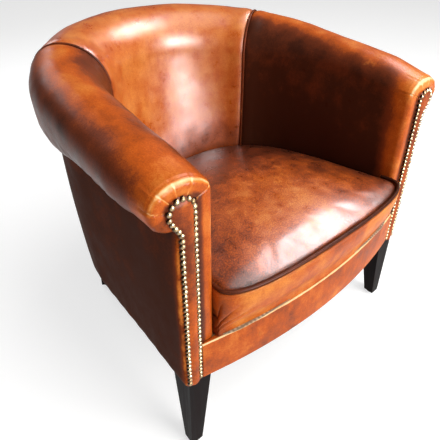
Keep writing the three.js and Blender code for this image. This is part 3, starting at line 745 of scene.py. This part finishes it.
def outside_panel(name, stations, inset, side, replaced):
    shape = section(stations)
    down = np.linspace(0, 1, 60)[None]
    out = lerp(shape.tuck_out, WALL, down) + PANEL_BULGE * down * (1 - down) - inset
    z = lerp(shape.tuck_z + 4 * MM, COVER_BOTTOM, down)
    points = place(stations, out, z)
    along = stations[:, [4]]
    to_bottom = z - COVER_BOTTOM
    to_seam = distance_to_seam(stations, out)
    points = raised(points, outside_relief(points, along, to_bottom, to_seam, 1.7 + side))
    # Painted shade: the panel darker all over, less towards its top and at its front edge, and dark under
    # the roll's overhang and in the seams.
    looks = {
        "tone_and_lighting": 0.06 * ease(z, 300 * MM, 500 * MM) + 0.42 * fade(along, 0, 16 * MM) - 0.34,
        "wear_and_highlight": 0.45 * fade(along, 0, 7 * MM) + 0.25 * bump(to_bottom, 4 * MM),
        "grime_and_shade": np.maximum(0.5 * ease(z, 500 * MM, 535 * MM), 0.6 * bump(to_seam, 2.5 * MM)),
    }
    cover_piece(name, points, shaded_outside_leather, side, looks, [replaced])


def outside_arm_panel(word, side):
    along = up_to(PANEL_ROUND, ARM_LENGTH, 70)
    stations, inset = rows_to_seam(PANEL_RETURN, PANEL_ROUND, (5, 9), along, PANEL_GAP)
    outside_panel(f"outside_arm_cover_{word}", stations, inset, side, f"outside_arm_leather_{word}")


def outside_back_panel():
    edge = SEAM_ANGLE - PANEL_GAP / HALF
    stations = back_stations(np.linspace(-edge, edge, 120))
    outside_panel("outside_back_cover", stations, 0.0, LEFT, "outside_back_leather")


def seam_cord(word, side):
    """The piping sewn between the arm's and the back's cover."""
    station = back_stations([-SEAM_ANGLE])
    out, z = cover_profile(station, 1.2 * MM)
    centre = place(station, out, z)[0] * mirrored(side)
    on_wall = (np.linspace(0, 1, len(centre)) < 0.45).astype(float)
    looks = {"tone_and_lighting": 0.16 * on_wall, "wear_and_highlight": 0.22 * on_wall, "grime_and_shade": 0 * on_wall}
    piece = piping(f"seam_cord_{word}", centre, PIPING_RADIUS, looks)
    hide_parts(f"seam_piping_{word}")


# ---- Seat

def seat_edge_z(y):
    return lerp(SEAT_FRONT, SEAT_REAR, np.maximum(y, 0) / SEAT_DEPTH)


def strip_face(x):
    """The bowed front of the strip over the front rail."""
    return FRONT_Y - STRIP_END - STRIP_BOW * (1 - (x / STRIP_HALF) ** 2)


def overhang_at(z):
    level = np.clip((z - LEDGE) / (SEAT_FRONT - LEDGE), 0, 1)
    at_ledge = STRIP_BOW + STRIP_END - LEDGE_SHOWS
    return lerp(at_ledge, SEAT_OVERHANG, level) + BAND_BULGE * np.sin(math.pi * level)


def front_line(clear, z, count):
    """The seat's front from left to right, with rounded corners forward of the arms. Near the ledge
    it keeps behind the strip's bowed face."""
    turn = np.linspace(math.pi, 0, count)
    power = 2 / CORNER_POWER
    x = (HALF - clear) * np.sign(np.cos(turn)) * np.abs(np.cos(turn)) ** power
    depth = (overhang_at(z) - clear) * np.sin(turn).clip(0) ** power
    on_ledge = FRONT_Y - strip_face(x) - LEDGE_SHOWS - clear
    free = ease((z - LEDGE) / (SEAT_FRONT - LEDGE), 0, 0.45)
    depth = lerp(np.minimum(depth, on_ledge), depth, free)
    return np.stack([x, FRONT_Y - depth, np.full(count, z)], axis=1)


def seat_outline(clear):
    """The seat's edge all round: its front, then along the inside faces of the arms and the back."""
    front = front_line(clear, SEAT_FRONT, SEAT_FRONT_POINTS)
    y = np.linspace(0, ARM_LENGTH, 60)[1:]
    arm_face = inside_face(section(arm_stations(y)), seat_edge_z(y)[:, None])[:, 0]
    right = np.stack([HALF + arm_face - clear, FRONT_Y + y, seat_edge_z(y)], axis=1)
    stations = back_stations(np.linspace(math.pi / 2, -math.pi / 2, 120)[1:-1])
    shape = section(stations)
    near = place(stations, inside_face(shape, SEAT_REAR) - clear, SEAT_REAR)[:, 0]
    z = seat_edge_z(near[:, 1] - FRONT_Y)[:, None]
    back = place(stations, inside_face(shape, z) - clear - PIPING_RADIUS, z)[:, 0]
    return np.concatenate([front, right, back, right[::-1] * ACROSS])


def seat_top(edge):
    """Rings from the edge to the middle of the crown."""
    middle = FRONT_Y + SEAT_CENTRE_Y
    rings = []
    for share in np.concatenate([up_to(1, 0.9, 10), np.linspace(0.9, 0.03, 52)]):
        ring = edge.copy()
        ring[:, 0] *= share
        ring[:, 1] = lerp(middle, edge[:, 1], share)
        inward = np.linalg.norm(ring[:, :2] - edge[:, :2], axis=1)
        dip = 3.2 * MM * bump(inward, 8 * MM)
        ring[:, 2] = seat_edge_z(ring[:, 1] - FRONT_Y) + SEAT_CROWN * (1 - share ** 2.2) - dip
        rings.append(ring)
    return rings


def seat_side(edge, clear):
    """Rings from the seat's underside up to its edge, drawn in at half height."""
    rings = []
    for level in up_to(0, 1, 12):
        ring = edge.copy()
        ring[:, 2] = lerp(INSIDE_BOTTOM + 1 * MM, ring[:, 2], level)
        drawn_in = 6 * MM * math.sin(math.pi * level)
        ring[:SEAT_FRONT_POINTS] = front_line(clear + drawn_in, ring[0, 2], SEAT_FRONT_POINTS)
        rings.append(ring)
    return rings


def swollen(piece, most):
    """Remeshes a padded piece, lets its cover swell as cloth, and keeps each point's move small.
    most(points) is the furthest that each point may move."""
    remesh = piece.modifiers.new("remesh", "REMESH")
    remesh.voxel_size = CLOTH_VOXEL
    bpy.context.view_layer.update()
    start = bpy.data.meshes.new_from_object(piece.evaluated_get(bpy.context.evaluated_depsgraph_get()))
    piece.modifiers.clear()
    piece.data = start
    rest = places_of(start)
    cloth = piece.modifiers.new("cloth", "CLOTH")
    cloth.settings.use_pressure = True
    cloth.settings.uniform_pressure_force = CLOTH_PRESSURE
    cloth.settings.effector_weights.gravity = 0
    cloth.settings.quality = 5
    cloth.point_cache.frame_end = CLOTH_FRAMES
    for number in range(1, CLOTH_FRAMES + 1):
        scene.frame_set(number)
    grown = places_of(piece.evaluated_get(bpy.context.evaluated_depsgraph_get()).data)
    piece.modifiers.clear()
    scene.frame_set(1)
    move = grown - rest
    length = np.linalg.norm(move, axis=1, keepdims=True)
    limit = most(rest)[:, None]
    move *= np.where(length > limit, limit / np.maximum(length, 1e-9), 1)
    start.vertices.foreach_set("co", (rest + move).ravel().astype(np.float32))
    start.shade_smooth()
    start.update()


def seat_share(points):
    """0 in the middle of the seat, 1 at its edge, roughly."""
    x = np.abs(points[:, 0]) / HALF
    y = points[:, 1] - FRONT_Y
    front = np.clip((SEAT_CENTRE_Y - y) / (SEAT_CENTRE_Y + SEAT_OVERHANG), 0, 1)
    back = np.clip((y - SEAT_CENTRE_Y) / SEAT_BEHIND_CENTRE, 0, 1)
    return np.minimum((x ** 3 + np.maximum(front, back) ** 3) ** (1 / 3), 1)


def seat_freedom(points):
    top = ease(points[:, 2], 330 * MM, 380 * MM)
    return lerp(0.4 * MM, SEAT_SWELL, top * (1 - seat_share(points) ** 4))


def wear_seat(mesh):
    """Golden where it is sat on, darker to the rear and the left, and with painted shade along its edge.
    """
    points = places_of(mesh)
    share = seat_share(points)
    x, y = points[:, 0], points[:, 1] - FRONT_Y
    sat_on = bump(np.hypot((x - 5 * MM) / 1.5, y - 75 * MM), 105 * MM)
    tone_and_lighting = 0.26 * sat_on - 0.24 * ease(y, 190 * MM, 400 * MM) - 0.12 * share ** 4
    tone_and_lighting -= 0.12 * ease(-x, 60 * MM, 220 * MM) * ease(y, 60 * MM, 240 * MM)
    set_attributes(mesh, {
        "tone_and_lighting": tone_and_lighting,
        "wear_and_highlight": 0.22 * sat_on + 0.10 * bump(y + 35 * MM, 25 * MM),
        # Painted shade in the groove along the seat's edge.
        "grime_and_shade": 0.5 * ease(share, 0.985, 1.0),
    })


def seat_cushion():
    clear = 2 * SEAT_PIPING_RADIUS + 0.4 * MM
    top = seat_top(seat_outline(clear))
    rings = np.array(seat_side(top[0], clear) + top)
    faces = ring_faces(*rings.shape[:2])
    piece = add_piece("seat_cushion", rings, faces, seat_leather, {})
    swollen(piece, seat_freedom)
    smoother = piece.modifiers.new("smooth", "SUBSURF")
    smoother.levels = smoother.render_levels = 1
    wear_seat(piece.data)
    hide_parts("seat_top_leather", "seat_foam")


def band_grid(top):
    """The band's points row by row, from its top down to the ledge, with a tail beside each arm."""
    levels = np.linspace(top, LEDGE - 0.5 * MM, 46)
    lines = np.array([front_line(0.6 * MM, z, 300) for z in levels])
    back = np.linspace(BAND_TAIL, 3 * MM, 10)
    tail = np.repeat(lines[:, :1], len(back), axis=1)
    tail[..., 1] += back
    return np.concatenate([tail, lines, tail[:, ::-1] * ACROSS], axis=1)


def corner_gathers(across, up, side):
    """Height of the folds that fan out from one of the band's lower corners, and painted shade in their
    valleys.
    """
    reach = np.hypot(across, up)
    turn = np.arctan2(up, across[None] + 7 * MM)
    waves = np.abs(np.sin(turn * 9.5 + 0.9 * side + 9 * reach))
    share = fade(reach, 45 * MM, 110 * MM) * ease(turn, 0.3, 0.6)
    share *= ease(reach, 3 * MM, 14 * MM) * ease(up, 0, 9 * MM)
    return 4.2 * MM * share * (waves ** 0.6 - 0.8), share * bump(waves, 0.28)


def seat_band():
    """The leather round the seat's front, stitched below its top and gathered in at both corners."""
    top = SEAT_FRONT - SEAT_PIPING_RADIUS + 0.6 * MM
    points = band_grid(top)
    z = points[..., 2]
    middle_row = points[len(points) // 2]
    steps = np.linalg.norm(np.diff(middle_row, axis=0), axis=1)
    from_left = np.concatenate([[0], np.cumsum(steps)]) - BAND_TAIL
    from_right = from_left[::-1]
    left_folds, left_fold_shade = corner_gathers(np.maximum(from_left, 0), z - LEDGE, LEFT)
    right_folds, right_fold_shade = corner_gathers(np.maximum(from_right, 0), z - LEDGE, RIGHT)
    level = ((z - LEDGE) / (top - LEDGE)).clip(0, 1)
    height = 2.2 * MM * bump(level - 0.78, 0.22) - 3.5 * MM * np.sin(math.pi * level)
    height -= 1.1 * MM * bump(z - (top - BAND_STITCH), 1.1 * MM)
    height += left_folds + right_folds + 0.7 * MM * rumple(points, 40 * MM, 8.8)
    to_corner = np.minimum(from_left, from_right).clip(0)[None]
    points = raised(points, height)
    stitches = bump(points[..., 2] - (top - BAND_STITCH), 0.8 * MM)
    # Painted shade under the piping, at the ledge, along the stitched groove and in the folds.
    grime_and_shade = np.maximum(0.5 * bump(level - 1, 0.04), 0.3 * bump(level, 0.02))
    grime_and_shade = np.maximum(grime_and_shade, 0.75 * stitches)
    looks = {
        # Painted shade towards each corner beside the arm.
        "tone_and_lighting": 0.04 - 0.26 * fade(to_corner, 12 * MM, 70 * MM) + 0 * level,
        "wear_and_highlight": 0.18 * bump(level - 0.72, 0.2),
        "grime_and_shade": np.maximum(grime_and_shade, 0.85 * (left_fold_shade + right_fold_shade)),
    }
    cover_piece("seat_band", points, lit_front_leather, LEFT, looks, ["seat_front_band"])


def seat_cord():
    """The piping round the seat's front edge, run back a little way along both arms."""
    line = front_line(SEAT_PIPING_RADIUS + 0.6 * MM, SEAT_FRONT, 221)
    run = np.linspace(26 * MM, 2 * MM, 8)
    tail = np.stack([np.full_like(run, line[0, 0]), FRONT_Y + run, seat_edge_z(run)], axis=1)
    centre = np.concatenate([tail, line, tail[::-1] * ACROSS])
    still = np.zeros(len(centre))
    # Painted shade: the cord darkened all along, most on the right.
    grime_and_shade = 0.35 + 0.4 * ease(centre[:, 0], -120 * MM, 60 * MM)
    looks = {"tone_and_lighting": still, "wear_and_highlight": still, "grime_and_shade": grime_and_shade}
    piece = piping("seat_cord", centre, SEAT_PIPING_RADIUS, looks)
    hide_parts("seat_piping")


def rail_strip_grid():
    """The strip's points row by row: over the rail, down its face and folded in at the bottom. Also
    each row's share of the way back over the rail."""
    x = np.linspace(-STRIP_HALF, STRIP_HALF, 240)
    radius = 2.2 * MM
    fold = np.linspace(0, math.pi / 2, 6)
    face_levels = np.linspace(LEDGE - radius, COVER_BOTTOM + radius, 30)[1:-1]
    levels = np.concatenate([
        np.full(6, LEDGE),
        LEDGE - radius + radius * np.cos(fold),
        face_levels,
        COVER_BOTTOM + radius - radius * np.sin(fold),
    ])
    folded = np.concatenate([
        np.full(6, radius),
        radius * (1 - np.sin(fold)),
        0 * face_levels,
        radius * (1 - np.cos(fold)),
    ])
    over_rail = np.concatenate([up_to(1, 0, 6), np.zeros(len(levels) - 6)])[:, None]
    ledge_depth = np.minimum(FRONT_Y - 0.5 * MM - radius - strip_face(x), 14 * MM).clip(0.5 * MM)
    face = strip_face(x)[None] + folded[:, None] + over_rail * ledge_depth[None]
    return np.stack(np.broadcast_arrays(x[None], face, levels[:, None]), axis=-1), over_rail


def rail_strip():
    """The flat leather strip over the front rail, with a painted highlight along its top edge."""
    points, over_rail = rail_strip_grid()
    inner = np.sin(math.pi * ((points[..., 2] - COVER_BOTTOM) / (LEDGE - COVER_BOTTOM)).clip(0, 1))
    points = raised(points, 1.1 * MM * inner + 0.7 * MM * inner * rumple(points, 50 * MM, 4.4))
    z = points[..., 2]
    # Painted highlight along the strip's top edge.
    top_edge_highlight = 1.3 * bump(z - LEDGE, 2.2 * MM) * (1 - over_rail) ** 4
    smudge = ease(rumple(points, 42 * MM, 6.1), 0.12, 0.5)
    looks = {
        "tone_and_lighting": np.full_like(z, -0.10),
        "wear_and_highlight": top_edge_highlight + 0.25 * bump(z - COVER_BOTTOM, 4 * MM),
        "grime_and_shade": 0.6 * smudge * inner,
    }
    cover_piece("rail_strip", points, lit_front_leather, LEFT, looks, ["front_rail_strip"], 2 * MM)


# ---- Nailed facings

def slant_ends(inset):
    """(out, z) where the slanting line under the head begins, and where it meets the neck."""
    radius = FACING_HEAD - inset
    high_out = HEAD_OUT + radius * math.cos(HEAD_SLANT)
    high_z = HEAD_Z - radius * math.sin(HEAD_SLANT)
    low_out = FACING_OUTER - inset
    return (high_out, high_z), (low_out, high_z - (high_out - low_out) / math.tan(HEAD_SLANT))


def facing_edges(z):
    """Inner and outer edge of the facing at each height."""
    across = np.sqrt(np.maximum(FACING_HEAD ** 2 - (z - HEAD_Z) ** 2, 0))
    inner = np.where(z > HEAD_Z, HEAD_OUT - across, FACING_INNER)
    (high_out, high_z), (low_out, low_z) = slant_ends(0)
    slant = np.interp(z, [low_z, high_z], [low_out, high_out])
    return inner, np.where(z > high_z, HEAD_OUT + across, slant)


def facing_panel(word, side):
    """The keyhole-shaped panel on the arm's front, padded inside its line of nails."""
    neck = up_to(COVER_BOTTOM + 1 * MM, HEAD_Z - FACING_HEAD, 110)
    head = HEAD_Z - FACING_HEAD * np.cos(np.linspace(0, math.pi * 0.96, 50))
    z = np.concatenate([neck, head])[:, None]
    inner, outer = facing_edges(z)
    share = (1 - np.cos(np.linspace(0, math.pi, 25))) / 2
    out = lerp(inner, outer, share[None])
    z = z + 0 * out
    to_edge = np.minimum(out - inner, outer - out)
    to_edge = np.minimum(to_edge, (HEAD_Z + FACING_HEAD - z).clip(0))
    puff = FACING_PUFF * ease(to_edge, NAIL_INSET - 1 * MM, 15 * MM)
    rim = FACING_RIM * fade(to_edge, 0, 4.0 * MM)
    points = np.stack([-HALF - out, FRONT_Y - FACING_FACE - puff + rim, z], axis=-1)
    points[..., 1] -= 0.5 * MM * rumple(points, 22 * MM, 1.5 + side)
    smudge = ease(rumple(points, 30 * MM, 5.2 + side), 0.15, 0.5)
    rubbed_head = bump(z - (HEAD_Z + 12 * MM), 5 * MM) * ease(to_edge, 6 * MM, 12 * MM)
    # Painted shade round the line of nails; the smudges are grime.
    looks = {
        "tone_and_lighting": np.full_like(out, -0.20),
        "wear_and_highlight": 0.4 * rubbed_head,
        "grime_and_shade": np.maximum(0.75 * bump(to_edge - NAIL_INSET, 4.2 * MM), 0.35 * smudge),
    }
    cover_piece(f"facing_{word}", points, lit_front_leather, side, looks, [f"arm_facing_{word}"], 3 * MM)


def nail_places():
    """(out, z) of each nail: up the inner edge, round the head and down the outer edge."""
    radius = FACING_HEAD - NAIL_INSET
    low = COVER_BOTTOM + 9 * MM
    turn = np.linspace(math.pi, -HEAD_SLANT, OUTLINE_STEPS)
    neck_out, neck_z = slant_ends(NAIL_INSET)[1]
    out = np.concatenate([
        np.full(OUTLINE_STEPS, FACING_INNER + NAIL_INSET),
        HEAD_OUT + radius * np.cos(turn),
        np.full(OUTLINE_STEPS, neck_out),
    ])
    z = np.concatenate([
        np.linspace(low, HEAD_Z, OUTLINE_STEPS),
        HEAD_Z + radius * np.sin(turn),
        np.linspace(neck_z, low, OUTLINE_STEPS),
    ])
    length = np.concatenate([[0], np.cumsum(np.hypot(np.diff(out), np.diff(z)))])
    steps = np.linspace(0, length[-1], round(length[-1] / NAIL_PITCH) + 1)
    return np.interp(steps, length, out), np.interp(steps, length, z)


def nail_head():
    """(points, faces, edge share) of a nail's head: a dome over a short skirt, closed underneath."""
    profile = [(0.97, -0.5), (1.0, 0.0)]
    profile += [(math.cos(t), math.sin(t)) for t in np.linspace(0.18, 1.38, 6)]
    points, shares = [], []
    for r, h in profile:
        for k in range(NAIL_SIDES):
            turn = 2 * math.pi * k / NAIL_SIDES
            across, up = NAIL_RADIUS * r * math.cos(turn), NAIL_RADIUS * r * math.sin(turn)
            points.append((across, -NAIL_HEIGHT * h, up))
            shares.append(max(0, r - 0.80) / 0.17)
    return np.array(points), ring_faces(len(profile), NAIL_SIDES), np.array(shares)


def nail_row(word, side):
    """Every domed nail on one facing, each a little out of line and tilted, as hand-set nails are."""
    shape, shape_faces, shares = nail_head()
    vertices, faces = [], []
    for i, (out, z) in enumerate(zip(*nail_places())):
        wobble = [noise.noise(Vector((i * 3.7 + 0.5, 10.0 * k + side, 0.3))) for k in range(4)]
        centre = np.array([
            -HALF - out + NAIL_SCATTER * wobble[0],
            FRONT_Y - FACING_FACE + 0.6 * MM,
            z + NAIL_SCATTER * wobble[1],
        ])
        head = shape * (1 + 0.05 * wobble[2])
        head[:, 1] += NAIL_TILT * (head[:, 0] * wobble[3] + head[:, 2] * wobble[2])
        start = i * len(shape)
        vertices.append(head + centre)
        faces += [tuple(start + v for v in face) for face in shape_faces]
    if side == RIGHT:
        faces = [face[::-1] for face in faces]
    points = np.concatenate(vertices) * mirrored(side)
    # Painted shade at the rim of each nail's dome.
    grime_and_shade = np.tile(shares, len(vertices))
    piece = add_piece(f"nails_{word}", points, faces, brass, {"grime_and_shade": grime_and_shade})
    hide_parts(f"nail_trim_{word}")


# ---- Lining under the seat

def dust_lining():
    """The black cloth tacked over the frame's underside, sagging a little between its tacks."""
    half = lining_high[0]
    t = np.linspace(0, 1, 90)
    x = lerp(-half, half, t)
    front_y = FRONT_Y + LINING_FRONT - 4 * STRIP_BOW * t * (1 - t)
    rear_y = FRONT_Y + ARM_LENGTH + np.sqrt(np.maximum(half ** 2 - x ** 2, 0))
    share = np.linspace(0, 1, 90)[:, None]
    y = lerp(front_y[None], rear_y[None], share)
    points = np.stack([np.broadcast_to(x, y.shape), y, np.full_like(y, lining_low[2])], axis=-1)
    middle = (4 * share * (1 - share)) * (4 * t * (1 - t))[None]
    tacks = np.abs(np.sin(share * 40)) * bump(t[None] * 2 - 1 - np.sign(t[None] - 0.5), 0.06)
    points[..., 2] -= 1.2 * MM * middle + 0.4 * MM * tacks - 0.2 * MM
    points[..., 2] -= 0.3 * MM * rumple(points, 50 * MM, 3.3)
    piece = skin_piece("dust_lining", points, lining, LEFT, {}, thickness=1.0 * MM)
    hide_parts("dust_cover")


# ---- CAD nodes that stay

def finish_node(name):
    """Gives a CAD node its look, and wood its eased edges."""
    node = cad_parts[name]
    material, edge = look_of(name)
    for held in node.material_slots:
        held.material = material
    if edge:
        bevel = node.modifiers.new("eased_edges", "BEVEL")
        bevel.width = edge
        bevel.segments = 2
        bevel.limit_method = "ANGLE"
        bevel.angle_limit = math.radians(30)


def look_of(name):
    """The material and the eased edge's width of a CAD node."""
    if "glide" in name:
        return glide_metal, 0.0
    if "leg" in name:
        return leg_wood, 1.4 * MM
    if "webbing" in name or "deck" in name:
        return jute, 0.0
    if "pad" in name or "foam" in name:
        return padding_fibre, 0.0
    return frame_wood, 0.8 * MM


# ---- Camera, floor and light

def aimed(thing, place_at, target):
    """Stands a camera or a light at a place and turns it to its target."""
    thing.location = place_at
    thing.rotation_euler = (target - place_at).to_track_quat("-Z", "Y").to_euler()
    scene.collection.objects.link(thing)


def add_camera():
    camera = bpy.data.objects.new("camera", bpy.data.cameras.new("camera"))
    aimed(camera, CAMERA_PLACE, CAMERA_TARGET)
    camera.data.lens = 35.0
    camera.data.sensor_width = 36
    camera.data.shift_x, camera.data.shift_y = CAMERA_SHIFT
    scene.camera = camera


def add_floor():
    mesh = bpy.data.meshes.new("floor")
    corners = [(FLOOR_HALF * x, FLOOR_HALF * y, 0) for x, y in ((-1, -1), (1, -1), (1, 1), (-1, 1))]
    mesh.from_pydata(corners, [], [(0, 1, 2, 3)])
    n = Nodes("pale_floor")
    n.set(Base_Color=(0.55, 0.55, 0.55, 1), Roughness=0.9, Specular_IOR_Level=0.1)
    n.set(Emission_Color=(1, 1, 1, 1), Emission_Strength=0.62)
    mesh.materials.append(n.material)
    floor = bpy.data.objects.new("floor", mesh)
    scene.collection.objects.link(floor)


def add_light(name, azimuth, elevation, distance, size, power, colour, soft=True):
    """A soft light aimed at the chair's middle. Azimuth 0 is in front of the chair. A light that is
    not soft shows only as a reflection."""
    light = bpy.data.lights.new(name, "AREA")
    light.shape = "RECTANGLE"
    light.size, light.size_y = size
    light.energy = power
    light.color = colour
    lamp = bpy.data.objects.new(name, light)
    lamp.visible_diffuse = soft
    turn, rise = math.radians(azimuth), math.radians(elevation)
    away = Vector((math.sin(turn) * math.cos(rise), -math.cos(turn) * math.cos(rise), math.sin(rise)))
    aimed(lamp, LIGHT_TARGET + away * distance, LIGHT_TARGET)


def add_world():
    world = bpy.data.worlds.new("studio")
    world.use_nodes = True
    tree = world.node_tree
    background = tree.nodes["Background"]
    background.inputs["Color"].default_value = (1, 1, 1, 1)
    path = tree.nodes.new("ShaderNodeLightPath")
    strength = tree.nodes.new("ShaderNodeMapRange")
    strength.inputs["To Min"].default_value = WORLD_LIGHT
    strength.inputs["To Max"].default_value = WORLD_SEEN
    tree.links.new(path.outputs["Is Camera Ray"], strength.inputs["Value"])
    tree.links.new(strength.outputs["Result"], background.inputs["Strength"])
    scene.world = world
    scene.view_settings.view_transform = "Standard"


def add_lights():
    add_light("window", 8, 15, 2.6, (1.6, 1.1), 220, (1.0, 0.95, 0.97), soft=False)
    add_light("side_window", 82, 50, 2.8, (1.5, 0.9), 130, (0.98, 0.94, 0.97), soft=False)
    add_light("front", 16, 24, 3.0, (1.6, 1.6), 72, (1.0, 0.98, 0.96))
    add_light("behind", -168, 32, 2.8, (1.3, 0.7), 16, (0.95, 0.97, 1.0))
    add_light("ceiling", 40, 66, 3.4, (3.0, 3.0), 100, (1.0, 0.99, 0.97))


add_camera()
add_floor()
add_world()
add_lights()
for word, side in (("left", LEFT), ("right", RIGHT)):
    arm_cover(word, side)
    outside_arm_panel(word, side)
    seam_cord(word, side)
    facing_panel(word, side)
    nail_row(word, side)
back_cover()
outside_back_panel()
seat_cushion()
seat_band()
seat_cord()
rail_strip()
dust_lining()
for node_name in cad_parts:
    finish_node(node_name)
